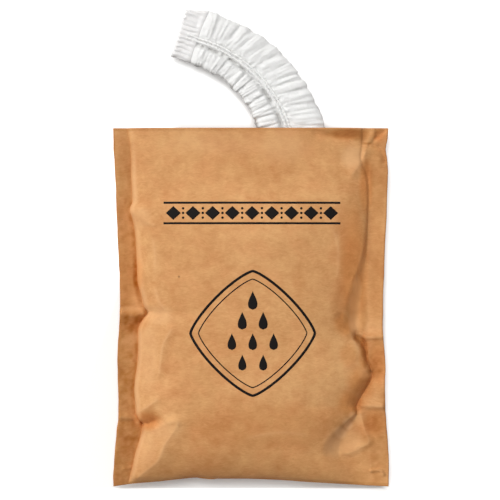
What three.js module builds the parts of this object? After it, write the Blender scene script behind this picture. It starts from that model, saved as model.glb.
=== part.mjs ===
// A disposable shower cap in its kraft paper sachet, lying on its back with the front face up.
// The cap is the strip kind: one film web folded like an accordion into a narrow strip, gathered
// along its length by a pair of elastics and welded flat at both ends. About a quarter of the strip
// stands out of the sachet's open mouth in a bend to the left; the rest lies inside as a U.
// Millimetres, +Z up, +Y towards the mouth, origin at the centre of the sachet's resting face.
import * as THREE from "three";

// Sachet: one sheet folded along the bottom and sealed down both sides.
const sachetWidth = 92;
const sachetLength = 120;
const sealWidth = 6;
const paperWall = 0.3;
const sealFilm = 0.2;
const bondGap = 0.05; // between the seal film and the paper on each side of it
const seamHeight = 4.2; // the seals' inner edges stand this high above the table
const leftCurl = 1.6; // and their outer edges curl up by this much more
const rightCurl = 0.4;
const frontRise = 10.5; // of the front panel above the seams, where it is fullest
const waistDrawIn = 1.9; // how far the filled sachet pulls each side edge in
const foldDrawIn = 3.5; // and the bottom fold up
const foldRun = 30; // the front panel falls to the bottom fold over this length
const backFoldRun = 9;
const mouthRun = 42; // the front panel eases down to the mouth over this length
const flatMargin = 3; // of flat back panel beside the cap
const cutGap = 0.3; // between the front panel's lower edge and the fold that carries on from it

// Cap strip, across its width: the two elastics run on the hem, with a frill on each side.
const outerReach = 10.8; // from the hem's middle to the outer frill's edge
const innerReach = 8.8;
const hemHalf = 1.4;
const hemThickness = 1.4;
const elasticDiameter = 0.9;
const elasticSpacing = 1.5;
const frillHeight = 3.2;
const foldThickness = 0.5; // of one accordion layer with its gathers
const foldGap = 0.3;
const foldCount = 4;
const foldBulge = 0.4; // how far each fold rounds out past the layers
const foldInset = 0.8; // of the folds behind the frill's edge
const layerGap = 0.3; // between the frills, the hem and the folds under them
const restGap = 0.3; // the strip lies on the back panel
const mouthClearance = 0.6; // over the strip where it leaves the sachet

// Cap strip, along its length.
const bendRadius = 43; // of the hem's middle where the strip bends out of the mouth
const bendDrop = 12.3; // from the mouth down to the bend's centre
const bendSweep = 70; // degrees, from the straight leg to the stiff free end
const freeStraight = 10.5; // of the free end, which the weld keeps from bending
const turnRadius = 14.2; // of the U inside the sachet
const turnClearance = 10; // from the U up to the bottom fold
const tailDrop = 18; // from the mouth down to the other end
const pleatPitch = 3;
const leanRun = 12; // the pleats take up their lean over this length
const weldLength = 6.6;
const weldThickness = 3;
const weldRibPitch = 1.6;
const weldRibHeight = 0.5;
const weldInset = 0.6; // of the welded tabs behind the frills' edges
const weldTaper = 1.9; // by which the tabs narrow on their outer side towards the strip's ends

// Shares of the sizes above, chosen by eye.
const frillCrestShares = { hem: 0.5, crown: 1, edge: 0.72, crownAt: 0.42, edgeAt: 0.95 };
const frillValleyShares = { hem: 0.42, crown: 0.45, edge: 0.3, crownAt: 0.42, edgeAt: 0.88 };
const pleatStationShares = [[0, 0], [0.3, 1], [0.72, 0.92]]; // place in the pleat, fullness
const foldSkewShare = 0.35; // how far the bottom fold's highest point lies to the left
const pleatPitchSpreadShare = 0.3;
const pleatHeightSpreadShare = 0.22;
const pleatLeanShare = 0.2; // of the distance across that a pleat runs back along the strip
const tabCornerShare = 0.5; // the welded tab's thin edge, of its thickness

// Where the filled sachet has buckled a side seam inwards: the side, the place up the sachet, how far
// the buckle reaches along it (both of the length) and how deep it is (of the seal's width).
const seamPinchShares = [
  [-1, 0.487, 0.05, 0.6],
  [-1, 0.18, 0.08, 0.45],
  [1, 0.415, 0.05, 0.25],
  [1, 0.24, 0.09, 0.85],
];
// Where the front panel lies flat beside the right seam: place, reach and depth as above.
const frontSlackShares = [0.1, 0.12, 1.5];

// Facets.
const panelColumns = 22;
const panelRows = 40;
const wrapSteps = 4;
const stripStep = 6; // degrees of bend in one step of a smooth strip
const elasticSides = 6;

// Places that follow from the sizes.
const mouthY = sachetLength / 2;
const innerHalf = sachetWidth / 2 - sealWidth;
const bundleHalf = turnRadius + outerReach;
const flatHalf = Math.min(bundleHalf + flatMargin, innerHalf - seamHeight);
const sheetSpacing = sealFilm / 2 + bondGap + paperWall / 2; // seam's middle to either sheet's middle
const stripBase = paperWall + restGap;
const foldStack = foldCount * foldThickness + (foldCount - 1) * foldGap;
const frillBase = stripBase + foldStack + layerGap;
const stripTop = frillBase + frillHeight;
const turnY = -sachetLength / 2 + foldDrawIn + turnClearance + bundleHalf;
const bendCentre = new THREE.Vector2(turnRadius - bendRadius, mouthY - bendDrop);

// The hem's middle line: the free end, the bend outside, a straight leg, the U, and a leg back up.
const sweep = THREE.MathUtils.degToRad(bendSweep);
const bend = new THREE.EllipseCurve(bendCentre.x, bendCentre.y, bendRadius, bendRadius, sweep, 0, true);
const turn = new THREE.EllipseCurve(0, turnY, turnRadius, turnRadius, 0, -Math.PI, true);
const freeEnd = bend.getPoint(0).addScaledVector(bend.getTangent(0), -freeStraight);
const tailEnd = new THREE.Vector2(-turnRadius, mouthY - tailDrop);
const stripPath = new THREE.CurvePath();
stripPath.add(new THREE.LineCurve(freeEnd, bend.getPoint(0)));
stripPath.add(bend);
stripPath.add(new THREE.LineCurve(bend.getPoint(1), turn.getPoint(0)));
stripPath.add(turn);
stripPath.add(new THREE.LineCurve(turn.getPoint(1), tailEnd));
const stripLength = stripPath.getLength();
const gatherStart = weldLength + layerGap;
const gatherEnd = stripLength - gatherStart;

// A point of the strip: so far along the hem, so far to the outside of the bends, and so high.
function onStrip(along, out, height) {
  const share = THREE.MathUtils.clamp(along / stripLength, 0, 1);
  const point = stripPath.getPoint(share);
  const tangent = stripPath.getTangent(share);
  return new THREE.Vector3(point.x - tangent.y * out, point.y + tangent.x * out, height);
}

// A closed solid through sections of the strip. Each section is {along, ring}, and each ring is a list
// of [out, height, extra distance along], anticlockwise seen from further along the strip.
function loftOnStrip(sections) {
  const sides = sections[0].ring.length;
  const positions = [];
  for (const { along, ring } of sections) {
    for (const [out, height, extra = 0] of ring) {
      positions.push(...onStrip(along + extra, out, height).toArray());
    }
  }
  const index = [];
  for (let s = 0; s + 1 < sections.length; s++) {
    for (let i = 0; i < sides; i++) {
      const a = s * sides + i;
      const b = s * sides + ((i + 1) % sides);
      index.push(a, b, a + sides, b, b + sides, a + sides);
    }
  }
  const capOf = (section) => {
    const outline = section.ring.map(([out, height]) => new THREE.Vector2(out, height));
    return THREE.ShapeUtils.triangulateShape(outline, []);
  };
  const last = (sections.length - 1) * sides;
  for (const [a, b, c] of capOf(sections[0])) index.push(a, c, b);
  for (const [a, b, c] of capOf(sections.at(-1))) index.push(last + a, last + b, last + c);
  const geometry = new THREE.BufferGeometry();
  geometry.setAttribute("position", new THREE.Float32BufferAttribute(positions, 3));
  geometry.setIndex(index);
  return geometry;
}

// Places along the strip for smooth pieces: close together in the bends, none on the straights.
function smoothStations() {
  const step = THREE.MathUtils.degToRad(stripStep);
  const stations = [];
  let begin = 0;
  for (const curve of stripPath.curves) {
    const length = curve.getLength();
    const turned = curve.isEllipseCurve ? Math.abs(curve.aEndAngle - curve.aStartAngle) : 0;
    const count = Math.max(1, Math.round(turned / step));
    for (let i = 0; i < count; i++) stations.push(begin + (length * i) / count);
    begin += length;
  }
  const inside = stations.filter((s) => s > gatherStart && s < gatherEnd);
  return [gatherStart, ...inside, gatherEnd];
}

// Pleats of uneven width and fullness, the same on every run.
function randomShares(seed) {
  let state = seed;
  return () => {
    state = (Math.imul(state, 1664525) + 1013904223) >>> 0;
    return state / 2 ** 32 - 0.5;
  };
}

function pleats(seed) {
  const random = randomShares(seed);
  const length = gatherEnd - gatherStart;
  const count = Math.round(length / pleatPitch);
  const widths = Array.from({ length: count }, () => 1 + random() * 2 * pleatPitchSpreadShare);
  const total = widths.reduce((sum, w) => sum + w, 0);
  let begin = gatherStart;
  return widths.map((w) => {
    const width = (w / total) * length;
    const pleat = { begin, width, fullness: 1 - (random() + 0.5) * pleatHeightSpreadShare };
    begin += width;
    return pleat;
  });
}

// One frill. side is 1 on the outside of the bends and -1 on the inside.
function frill(side, reach, seed) {
  const from = hemHalf + layerGap;
  const sectionAt = (along, fullness) => {
    const mix = (name) =>
      THREE.MathUtils.lerp(frillValleyShares[name], frillCrestShares[name], fullness);
    const toEnd = Math.min(along - gatherStart, gatherEnd - along);
    const lean = pleatLeanShare * THREE.MathUtils.smoothstep(toEnd, 0, leanRun);
    const pointAt = (share, height) => {
      const out = side * THREE.MathUtils.lerp(from, reach, share);
      return [out, frillBase + height, lean * out];
    };
    const ring = [
      pointAt(0, 0),
      pointAt(mix("edgeAt") + (1 - frillCrestShares.edgeAt), 0),
      pointAt(mix("edgeAt"), frillHeight * mix("edge")),
      pointAt(mix("crownAt"), frillHeight * mix("crown")),
      pointAt(0, frillHeight * mix("hem")),
    ];
    return { along, ring: side > 0 ? ring : ring.reverse() };
  };
  const sections = pleats(seed).flatMap(({ begin, width, fullness }) =>
    pleatStationShares.map(([place, full]) => sectionAt(begin + place * width, full * fullness)),
  );
  return loftOnStrip([...sections, sectionAt(gatherEnd, 0)]);
}

// The accordion under the frills: one web that turns back on itself at each edge of the strip.
function crownFolds() {
  const edges = [-(innerReach - foldInset), outerReach - foldInset];
  const middle = [];
  for (let k = 0; k < foldCount; k++) {
    const height = stripBase + foldThickness / 2 + k * (foldThickness + foldGap);
    const near = edges[k % 2];
    const far = edges[(k + 1) % 2];
    middle.push([near, height], [far, height]);
    if (k + 1 < foldCount) {
      middle.push([far + Math.sign(far) * foldBulge, height + (foldThickness + foldGap) / 2]);
    }
  }
  const ring = ribbonOutline(middle, foldThickness);
  return loftOnStrip(smoothStations().map((along) => ({ along, ring })));
}

// The closed outline of a ribbon that follows a line of [x, y] points, mitred at its corners.
function ribbonOutline(line, thickness) {
  const points = line.map(([x, y]) => new THREE.Vector2(x, y));
  const leftOf = (a, b) => {
    const ahead = new THREE.Vector2().subVectors(b, a).normalize();
    return new THREE.Vector2(-ahead.y, ahead.x);
  };
  const offset = (i, side) => {
    const before = i > 0 ? leftOf(points[i - 1], points[i]) : leftOf(points[0], points[1]);
    const after = i + 1 < points.length ? leftOf(points[i], points[i + 1]) : before;
    const mitre = before.clone().add(after).normalize();
    return points[i].clone().addScaledVector(mitre, (side * thickness) / 2 / mitre.dot(after)).toArray();
  };
  const right = points.map((_, i) => offset(i, -1));
  const left = points.map((_, i) => offset(i, 1)).reverse();
  return [...right, ...left];
}

function hemBand() {
  const ring = [
    [-hemHalf, frillBase],
    [hemHalf, frillBase],
    [hemHalf, frillBase + hemThickness],
    [-hemHalf, frillBase + hemThickness],
  ];
  return loftOnStrip(smoothStations().map((along) => ({ along, ring })));
}

// An elastic thread on the hem. side is 1 or -1.
function elastic(side) {
  const radius = elasticDiameter / 2;
  const height = frillBase + hemThickness + bondGap + radius;
  const ring = Array.from({ length: elasticSides }, (_, i) => {
    const angle = ((i + 0.5) / elasticSides) * 2 * Math.PI;
    return [(side * elasticSpacing) / 2 + radius * Math.cos(angle), height + radius * Math.sin(angle)];
  });
  return loftOnStrip(smoothStations().map((along) => ({ along, ring })));
}

// The tab where all the layers are pressed and welded together, with ribs along the strip. Its outer
// edge draws in by the given narrowings at its two ends.
function weldedTab(begin, narrowings) {
  const inner = -(innerReach - weldInset);
  const ribs = Math.round((outerReach - weldInset - inner) / weldRibPitch);
  const base = (stripBase + stripTop - weldThickness) / 2;
  const sections = narrowings.map((narrowing, end) => {
    const outer = outerReach - weldInset - narrowing;
    const ring = [[inner, base], [outer, base]];
    for (let i = 2 * ribs; i >= 0; i--) {
      const out = inner + ((outer - inner) * i) / (2 * ribs);
      const atRim = i === 0 || i === 2 * ribs;
      const top = atRim ? weldThickness * tabCornerShare : weldThickness - (i % 2 ? 0 : weldRibHeight);
      ring.push([out, base + top]);
    }
    return { along: begin + end * weldLength, ring };
  });
  return loftOnStrip(sections);
}

// Sachet outline: the side edges draw in towards the middle and the bottom fold draws up.
function drawIn(y) {
  const share = THREE.MathUtils.clamp((y + sachetLength / 2) / sachetLength, 0, 1);
  return waistDrawIn * Math.sin(Math.PI * share) ** 1.5;
}

// A soft bump of height 1 round a place, with the given reach on either side.
function bump(share, place, reach) {
  return 0.5 + 0.5 * Math.cos(Math.PI * Math.min(1, Math.abs(share - place) / reach));
}

// How far a side seam is buckled inwards at y.
function pinch(side, y) {
  const share = (y + sachetLength / 2) / sachetLength;
  const own = seamPinchShares.filter(([where]) => where === side);
  const depths = own.map(([, place, reach, depth]) => depth * bump(share, place, reach));
  return sealWidth * depths.reduce((sum, depth) => sum + depth, 0);
}

function foldY(across) {
  const skewed = across + foldSkewShare * (1 - across ** 2);
  return -sachetLength / 2 + foldDrawIn * (1 - Math.abs(skewed) ** 2.6);
}

// Fullness of a rounded side: 0 on the seam, 1 in the middle.
const rounded = (share, power) => (1 - (1 - Math.min(1, share)) ** power) ** (1 / power);
const acrossFullness = (across) => rounded(1 - Math.abs(across), 2.3);

// The same for the front panel, which starts to swell further in where it is slack.
function frontFullness(across, y) {
  const [place, reach, depth] = frontSlackShares;
  const share = (y + sachetLength / 2) / sachetLength;
  const slack = across > 0 ? (sealWidth * depth * bump(share, place, reach)) / innerHalf : 0;
  return rounded(Math.max(0, 1 - Math.abs(across) - slack) / (1 - slack), 2.3);
}

// The mouth stands open just enough for the strip to slide out under the front panel.
const mouthRise =
  (stripTop + mouthClearance + paperWall / 2 - seamHeight) / acrossFullness(bundleHalf / innerHalf);

// Height of each panel's middle surface. across runs from -1 to 1 between the seams.
function frontHeight(across, y) {
  const toMouth = THREE.MathUtils.smootherstep(mouthY - y, 0, mouthRun);
  const rise = THREE.MathUtils.lerp(mouthRise, frontRise, toMouth);
  const toFold = rounded((y - foldY(across)) / foldRun, 2);
  return seamHeight + sheetSpacing + (rise - sheetSpacing) * frontFullness(across, y) * toFold;
}

function backHeight(across, y) {
  const toSeam = Math.max(0, (Math.abs(across) * innerHalf - flatHalf) / (innerHalf - flatHalf));
  const toFold = Math.max(0, 1 - (y - foldY(across)) / backFoldRun);
  const lift = 1 - (1 - Math.min(1, toSeam) ** 2) * (1 - toFold ** 2);
  return paperWall / 2 + (seamHeight - sheetSpacing - paperWall / 2) * lift;
}

// Columns from one side edge to the other, closer together towards the seams.
// edge is -1 or 1 on the sachet's outer edges, and 0 on the columns between the seams.
function columns() {
  const inside = Array.from({ length: panelColumns + 1 }, (_, i) => ({
    across: -Math.cos((Math.PI * i) / panelColumns),
    edge: 0,
  }));
  return [{ across: -1, edge: -1 }, ...inside, { across: 1, edge: 1 }];
}

// Between the seams the columns follow the buckled seam lines, the outer edges don't.
function sheetX({ across, edge }, y) {
  if (edge) return edge * (innerHalf + sealWidth - drawIn(y));
  const left = -(innerHalf - drawIn(y) - pinch(-1, y));
  const right = innerHalf - drawIn(y) - pinch(1, y);
  return THREE.MathUtils.lerp(left, right, (across + 1) / 2);
}

function curlOf({ edge }) {
  if (edge === 0) return 0;
  return edge < 0 ? leftCurl : rightCurl;
}

// Rows are closer together towards the bottom fold, and the seals share them with the panels.
const rowShare = (r) => 1 - Math.cos((Math.PI / 2) * (r / panelRows));

// Rows of points of a panel's middle surface, from the bottom fold to the mouth.
function panelSurface(heightAt, startGap) {
  return Array.from({ length: panelRows + 1 }, (_, r) => {
    return columns().map((column) => {
      const y = THREE.MathUtils.lerp(foldY(column.across) + startGap, mouthY, rowShare(r));
      return new THREE.Vector3(sheetX(column, y), y, heightAt(column.across, y) + curlOf(column));
    });
  });
}

// The back panel goes on round the bottom fold, up to the front panel's edge.
function wrapSurface() {
  return Array.from({ length: wrapSteps }, (_, k) => {
    const angle = Math.PI * (1 - k / wrapSteps);
    return columns().map((column) => {
      const y = foldY(column.across);
      const middle = seamHeight + curlOf(column);
      const out = sheetSpacing * Math.sin(angle);
      return new THREE.Vector3(sheetX(column, y), y - out, middle - sheetSpacing * Math.cos(angle));
    });
  });
}

// A sheet of paper with the given thickness round a grid of middle points.
function paperSheet(rows, thickness) {
  const rowCount = rows.length;
  const columnCount = rows[0].length;
  const positions = { top: [], bottom: [] };
  rows.forEach((row, r) =>
    row.forEach((point, c) => {
      const next = rows[Math.min(r + 1, rowCount - 1)][c];
      const previous = rows[Math.max(r - 1, 0)][c];
      const right = row[Math.min(c + 1, columnCount - 1)];
      const left = row[Math.max(c - 1, 0)];
      const along = new THREE.Vector3().subVectors(next, previous);
      const normal = new THREE.Vector3().subVectors(right, left).cross(along).normalize();
      positions.top.push(...point.clone().addScaledVector(normal, thickness / 2).toArray());
      positions.bottom.push(...point.clone().addScaledVector(normal, -thickness / 2).toArray());
    }),
  );
  const under = rowCount * columnCount;
  const at = (r, c) => r * columnCount + c;
  const index = [];
  const quad = (a, b, c, d) => index.push(a, b, c, a, c, d);
  for (let r = 0; r + 1 < rowCount; r++) {
    for (let c = 0; c + 1 < columnCount; c++) {
      quad(at(r, c), at(r, c + 1), at(r + 1, c + 1), at(r + 1, c));
      quad(under + at(r, c), under + at(r + 1, c), under + at(r + 1, c + 1), under + at(r, c + 1));
    }
  }
  const lastRow = rowCount - 1;
  const lastColumn = columnCount - 1;
  for (let c = 0; c < lastColumn; c++) {
    quad(under + at(0, c), under + at(0, c + 1), at(0, c + 1), at(0, c));
    quad(at(lastRow, c), at(lastRow, c + 1), under + at(lastRow, c + 1), under + at(lastRow, c));
  }
  for (let r = 0; r < lastRow; r++) {
    const rim = at(r, lastColumn);
    const nextRim = at(r + 1, lastColumn);
    quad(at(r, 0), at(r + 1, 0), under + at(r + 1, 0), under + at(r, 0));
    quad(under + rim, under + nextRim, nextRim, rim);
  }
  const geometry = new THREE.BufferGeometry();
  geometry.setAttribute(
    "position",
    new THREE.Float32BufferAttribute([...positions.top, ...positions.bottom], 3),
  );
  geometry.setIndex(index);
  return geometry;
}

// The film that bonds front to back down one side. side is 1 or -1.
function sideSeal(side) {
  const rows = Array.from({ length: panelRows + 1 }, (_, r) => {
    const y = THREE.MathUtils.lerp(-sachetLength / 2, mouthY, rowShare(r));
    const column = { across: side, edge: side };
    const inner = new THREE.Vector3(sheetX({ across: side, edge: 0 }, y), y, seamHeight);
    const outer = new THREE.Vector3(sheetX(column, y), y, seamHeight + curlOf(column));
    return side > 0 ? [inner, outer] : [outer, inner];
  });
  return paperSheet(rows, sealFilm);
}

const kraft = new THREE.MeshStandardMaterial({ color: 0xcf9a62, roughness: 0.85, metalness: 0 });
const sealant = new THREE.MeshStandardMaterial({ color: 0xb98650, roughness: 0.6, metalness: 0 });
const film = new THREE.MeshStandardMaterial({ color: 0xf2f2f2, roughness: 0.55, metalness: 0 });
const weldedFilm = new THREE.MeshStandardMaterial({ color: 0xe9e9ea, roughness: 0.4, metalness: 0 });
const latex = new THREE.MeshStandardMaterial({ color: 0xfafafa, roughness: 0.6, metalness: 0 });

function part(name, geometry, material) {
  const mesh = new THREE.Mesh(geometry, material);
  mesh.name = name;
  return mesh;
}

const sachet = new THREE.Group();
sachet.add(
  part("front_panel", paperSheet(panelSurface(frontHeight, cutGap), paperWall), kraft),
  part("back_panel", paperSheet([...wrapSurface(), ...panelSurface(backHeight, 0)], paperWall), kraft),
  part("side_seal_left", sideSeal(-1), sealant),
  part("side_seal_right", sideSeal(1), sealant),
);

const cap = new THREE.Group();
cap.add(
  part("crown_folds", crownFolds(), film),
  part("outer_frill", frill(1, outerReach, 11), film),
  part("inner_frill", frill(-1, innerReach, 29), film),
  part("hem_band", hemBand(), film),
  part("outer_elastic", elastic(1), latex),
  part("inner_elastic", elastic(-1), latex),
  part("leading_weld", weldedTab(0, [weldTaper, 0]), weldedFilm),
  part("trailing_weld", weldedTab(stripLength - weldLength, [0, weldTaper]), weldedFilm),
);

const model = new THREE.Group();
model.add(sachet, cap);

export default model;
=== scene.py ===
import math

import bpy
import numpy as np
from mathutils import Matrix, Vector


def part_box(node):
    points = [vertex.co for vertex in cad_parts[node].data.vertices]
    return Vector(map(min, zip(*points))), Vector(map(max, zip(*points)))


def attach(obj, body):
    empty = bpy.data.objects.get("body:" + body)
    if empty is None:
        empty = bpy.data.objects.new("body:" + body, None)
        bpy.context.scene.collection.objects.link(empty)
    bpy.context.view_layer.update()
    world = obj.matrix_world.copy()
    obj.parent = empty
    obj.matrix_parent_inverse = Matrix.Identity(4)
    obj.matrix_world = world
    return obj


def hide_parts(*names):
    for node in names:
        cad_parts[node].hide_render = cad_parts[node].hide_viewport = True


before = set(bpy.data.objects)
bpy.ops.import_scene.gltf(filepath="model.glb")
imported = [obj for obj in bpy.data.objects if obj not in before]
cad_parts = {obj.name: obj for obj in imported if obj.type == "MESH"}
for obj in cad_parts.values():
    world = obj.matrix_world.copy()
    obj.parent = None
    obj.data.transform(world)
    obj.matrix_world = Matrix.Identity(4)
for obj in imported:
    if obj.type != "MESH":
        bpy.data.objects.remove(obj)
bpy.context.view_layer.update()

metre = 0.001  # of one millimetre
print("frame loaded, nodes:", len(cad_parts))


# Tools for objects and shader nodes

def addObject(name, data):
    item = bpy.data.objects.new(name, data)
    bpy.context.scene.collection.objects.link(item)
    return item


def emptyTree(owner):
    owner.use_nodes = True
    owner.node_tree.nodes.clear()
    return owner.node_tree


def addNode(tree, kind, inputs=None, **settings):
    node = tree.nodes.new(kind)
    for key, value in settings.items():
        setattr(node, key, value)
    for key, value in (inputs or {}).items():
        if isinstance(value, bpy.types.NodeSocket):
            tree.links.new(value, node.inputs[key])
        else:
            node.inputs[key].default_value = value
    return node


def calc(tree, operation, *values):
    return addNode(tree, "ShaderNodeMath", dict(enumerate(values)), operation=operation).outputs[0]


def vectorCalc(tree, operation, *values):
    node = addNode(tree, "ShaderNodeVectorMath", dict(enumerate(values)), operation=operation)
    return node.outputs["Value" if operation in ("LENGTH", "DOT_PRODUCT") else "Vector"]


def ramp(tree, value, start, full, low=0, high=1, kind="LINEAR"):
    given = {"Value": value, "From Min": start, "From Max": full, "To Min": low, "To Max": high}
    return addNode(tree, "ShaderNodeMapRange", given, interpolation_type=kind).outputs[0]


def blend(tree, share, one, other, kind="MIX"):
    given = {0: share, 6: one, 7: other}
    return addNode(tree, "ShaderNodeMix", given, data_type="RGBA", blend_type=kind).outputs[2]


def noise(tree, place, scale, detail, roughness=0.5, distortion=0.0):
    given = {"Vector": place, "Scale": scale, "Detail": detail, "Roughness": roughness,
             "Distortion": distortion}
    return addNode(tree, "ShaderNodeTexNoise", given).outputs


def mixShaders(tree, share, one, other):
    return addNode(tree, "ShaderNodeMixShader", {0: share, 1: one.outputs[0], 2: other.outputs[0]}).outputs[0]


def seenDirectly(tree):
    # 1 for rays that show the surface itself, in the camera, a mirror or through glass
    path = addNode(tree, "ShaderNodeLightPath").outputs
    some = calc(tree, "MAXIMUM", path["Is Camera Ray"], path["Is Glossy Ray"])
    return calc(tree, "MAXIMUM", some, path["Is Transmission Ray"])


# Camera, floor and light

view = {
    "across": 166.7,  # width of the picture at the height of the sachet
    "centre": (-0.33, 19.33),
    "height": 900.0,
    "aimZ": 6.0,
    "sensor": 36.0,
    "clip": (50.0, 20000.0),
}

floor = {
    "half": 700.0,
    "shade": 0.78,
    "seenShade": 0.98,
    "seenGlow": 0.055,
    # The table glows more in places, so that the shadows there are short. Each pair says
    # where along a measure that glow starts and where it is full.
    "poolGlow": 0.45,
    "right": (43.0, 45.6),
    "below": (-60.3, -61.0),
    "round": (52.0, 56.0),
    "aboveMouth": (59.0, 63.0),
    "within": (33.4, 30.9),
    "highUp": (60.2, 64.5),
    "under": (35.5, 33.0),
    "straight": (0.5, -3.0),
    "bend": (-28.8, 47.5),
    "bendSweep": math.radians(70),
    "pool": (-29.1, 49.4),
}

lights = {
    # azimuth is counted from +X towards +Y, share in units of a white sheet's full brightness
    "window": {"azimuth": 160.0, "height": 45.0, "spread": 70.0, "share": 0.44, "tint": (1.0, 0.99, 0.97)},
    "top": {"azimuth": 98.0, "height": 57.0, "spread": 30.0, "share": 0.38, "tint": (1.0, 0.995, 0.98)},
    "sky": {"share": 0.18, "tint": (1.0, 0.985, 0.965)},
}


def makeCamera():
    data = bpy.data.cameras.new("above")
    data.sensor_width = view["sensor"]
    data.lens = view["sensor"] * (view["height"] - view["aimZ"]) / view["across"]
    data.clip_start, data.clip_end = (v * metre for v in view["clip"])
    camera = addObject("above", data)
    camera.location = [v * metre for v in (*view["centre"], view["height"])]
    bpy.context.scene.camera = camera


def glowOnFloor(tree):
    place = addNode(tree, "ShaderNodeTexCoord").outputs["Object"]
    axes = addNode(tree, "ShaderNodeSeparateXYZ", {0: place}).outputs
    fromBend, fromPool = (vectorCalc(tree, "SUBTRACT", place, [v * metre for v in floor[name]] + [0])
                          for name in ("bend", "pool"))
    turn = floor["bendSweep"]
    outward, ahead = (math.cos(turn), math.sin(turn), 0), (math.sin(turn), -math.cos(turn), 0)
    measures = {
        "right": axes["X"],
        "round": vectorCalc(tree, "LENGTH", fromBend),
        "within": vectorCalc(tree, "LENGTH", fromPool),
        "under": vectorCalc(tree, "DOT_PRODUCT", fromBend, outward),
        "straight": vectorCalc(tree, "DOT_PRODUCT", fromBend, ahead),
    }
    pool = 0.0
    for names in (("right",), ("below",), ("round", "aboveMouth"), ("within", "highUp"),
                  ("under", "straight")):
        share = 1.0
        for name in names:
            start, full = (v * metre for v in floor[name])
            near = ramp(tree, measures.get(name, axes["Y"]), start, full, kind="SMOOTHSTEP")
            share = calc(tree, "MULTIPLY", near, share)
        pool = calc(tree, "MAXIMUM", share, pool)
    return calc(tree, "MULTIPLY_ADD", pool, floor["poolGlow"], floor["seenGlow"])


def makeFloor():
    half = floor["half"] * metre
    corners = [(-half, -half, 0), (half, -half, 0), (half, half, 0), (-half, half, 0)]
    mesh = bpy.data.meshes.new("floor")
    mesh.from_pydata(corners, [], [(0, 1, 2, 3)])
    material = bpy.data.materials.new("white sweep")
    tree = emptyTree(material)
    plain, seen = (addNode(tree, "ShaderNodeBsdfDiffuse", {"Color": (floor[name],) * 3 + (1,)})
                   for name in ("shade", "seenShade"))
    glow = addNode(tree, "ShaderNodeEmission", {"Color": (1, 1, 1, 1), "Strength": glowOnFloor(tree)})
    paintedLight = addNode(tree, "ShaderNodeAddShader", {0: seen.outputs[0], 1: glow.outputs[0]})
    surface = mixShaders(tree, seenDirectly(tree), plain, paintedLight)
    addNode(tree, "ShaderNodeOutputMaterial", {"Surface": surface})
    mesh.materials.append(material)
    plane = addObject("floor", mesh)


def makeLights():
    for name in ("window", "top"):
        lamp = lights[name]
        data = bpy.data.lights.new(name, "SUN")
        data.color = lamp["tint"]
        data.angle = math.radians(lamp["spread"])
        data.energy = lamp["share"] * math.pi / math.sin(math.radians(lamp["height"]))
        item = addObject(name, data)
        item.rotation_euler = (0, math.radians(90 - lamp["height"]), math.radians(lamp["azimuth"]))
    world = bpy.data.worlds.new("soft room")
    bpy.context.scene.world = world
    tree = emptyTree(world)
    room, white = (addNode(tree, "ShaderNodeBackground", {"Color": tint + (1,), "Strength": strength})
                   for tint, strength in ((lights["sky"]["tint"], lights["sky"]["share"]), ((1, 1, 1), 1)))
    addNode(tree, "ShaderNodeOutputWorld", {"Surface": mixShaders(tree, seenDirectly(tree), room, white)})


bpy.context.scene.view_settings.view_transform = "Standard"
makeCamera()
makeFloor()
makeLights()
print("camera, floor and light set")


# Tools for shapes

def smooth(t):
    t = np.clip(t, 0, 1)
    return t * t * (3 - 2 * t)


def through(points, at):
    # a smooth line through given (place, value) pairs
    places, values = np.array(points, float).T
    steps = np.diff(values) / np.diff(places)
    slopes = np.gradient(values, places)
    room = 3 * np.minimum(np.abs(steps[:-1]), np.abs(steps[1:])) * (steps[:-1] * steps[1:] > 0)
    slopes[1:-1] = np.clip(slopes[1:-1], -room, room)
    at = np.clip(at, places[0], places[-1])
    i = np.clip(np.searchsorted(places, at) - 1, 0, len(places) - 2)
    step = places[i + 1] - places[i]
    t = (at - places[i]) / step
    start = (1 + 2 * t) * (1 - t) ** 2 * values[i] + t * (1 - t) ** 2 * step * slopes[i]
    return start + t * t * (3 - 2 * t) * values[i + 1] + t * t * (t - 1) * step * slopes[i + 1]


def softNoise(x, y, cell, seed):
    # smooth blotches between -1 and 1, each about one cell across
    size = 89
    table = np.random.RandomState(seed).uniform(-1, 1, (size, size))
    gx, gy = np.asarray(x) / cell + size / 2, np.asarray(y) / cell + size / 2
    ix, iy = np.floor(gx).astype(int), np.floor(gy).astype(int)
    fx, fy = smooth(gx - ix), smooth(gy - iy)
    low, high = (table[ix % size, (iy + j) % size] * (1 - fx) + table[(ix + 1) % size, (iy + j) % size] * fx
                 for j in (0, 1))
    return low * (1 - fy) + high * fy


def rounded(share, power):
    return (1 - (1 - np.clip(share, 0, 1)) ** power) ** (1 / power)


def bell(t):
    return np.exp(-(t ** 2))


def gridFaces(rows, columns, start=0, flip=False):
    r, c = np.meshgrid(np.arange(rows - 1), np.arange(columns - 1), indexing="ij")
    a = (start + r * columns + c).ravel()
    quads = np.stack([a, a + 1, a + columns + 1, a + columns], 1)
    return quads[:, ::-1] if flip else quads


def slabFaces(rows, columns):
    # two grids of points, top then bottom, closed round their rim
    under = rows * columns
    at = np.arange(under).reshape(rows, columns)
    rim = np.concatenate([at[0], at[1:, -1], at[-1, -2::-1], at[-2:0:-1, 0]])
    ahead = np.roll(rim, -1)
    sides = np.stack([rim + under, ahead + under, ahead, rim], 1)
    return np.concatenate([gridFaces(rows, columns), gridFaces(rows, columns, under, True), sides])


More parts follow.
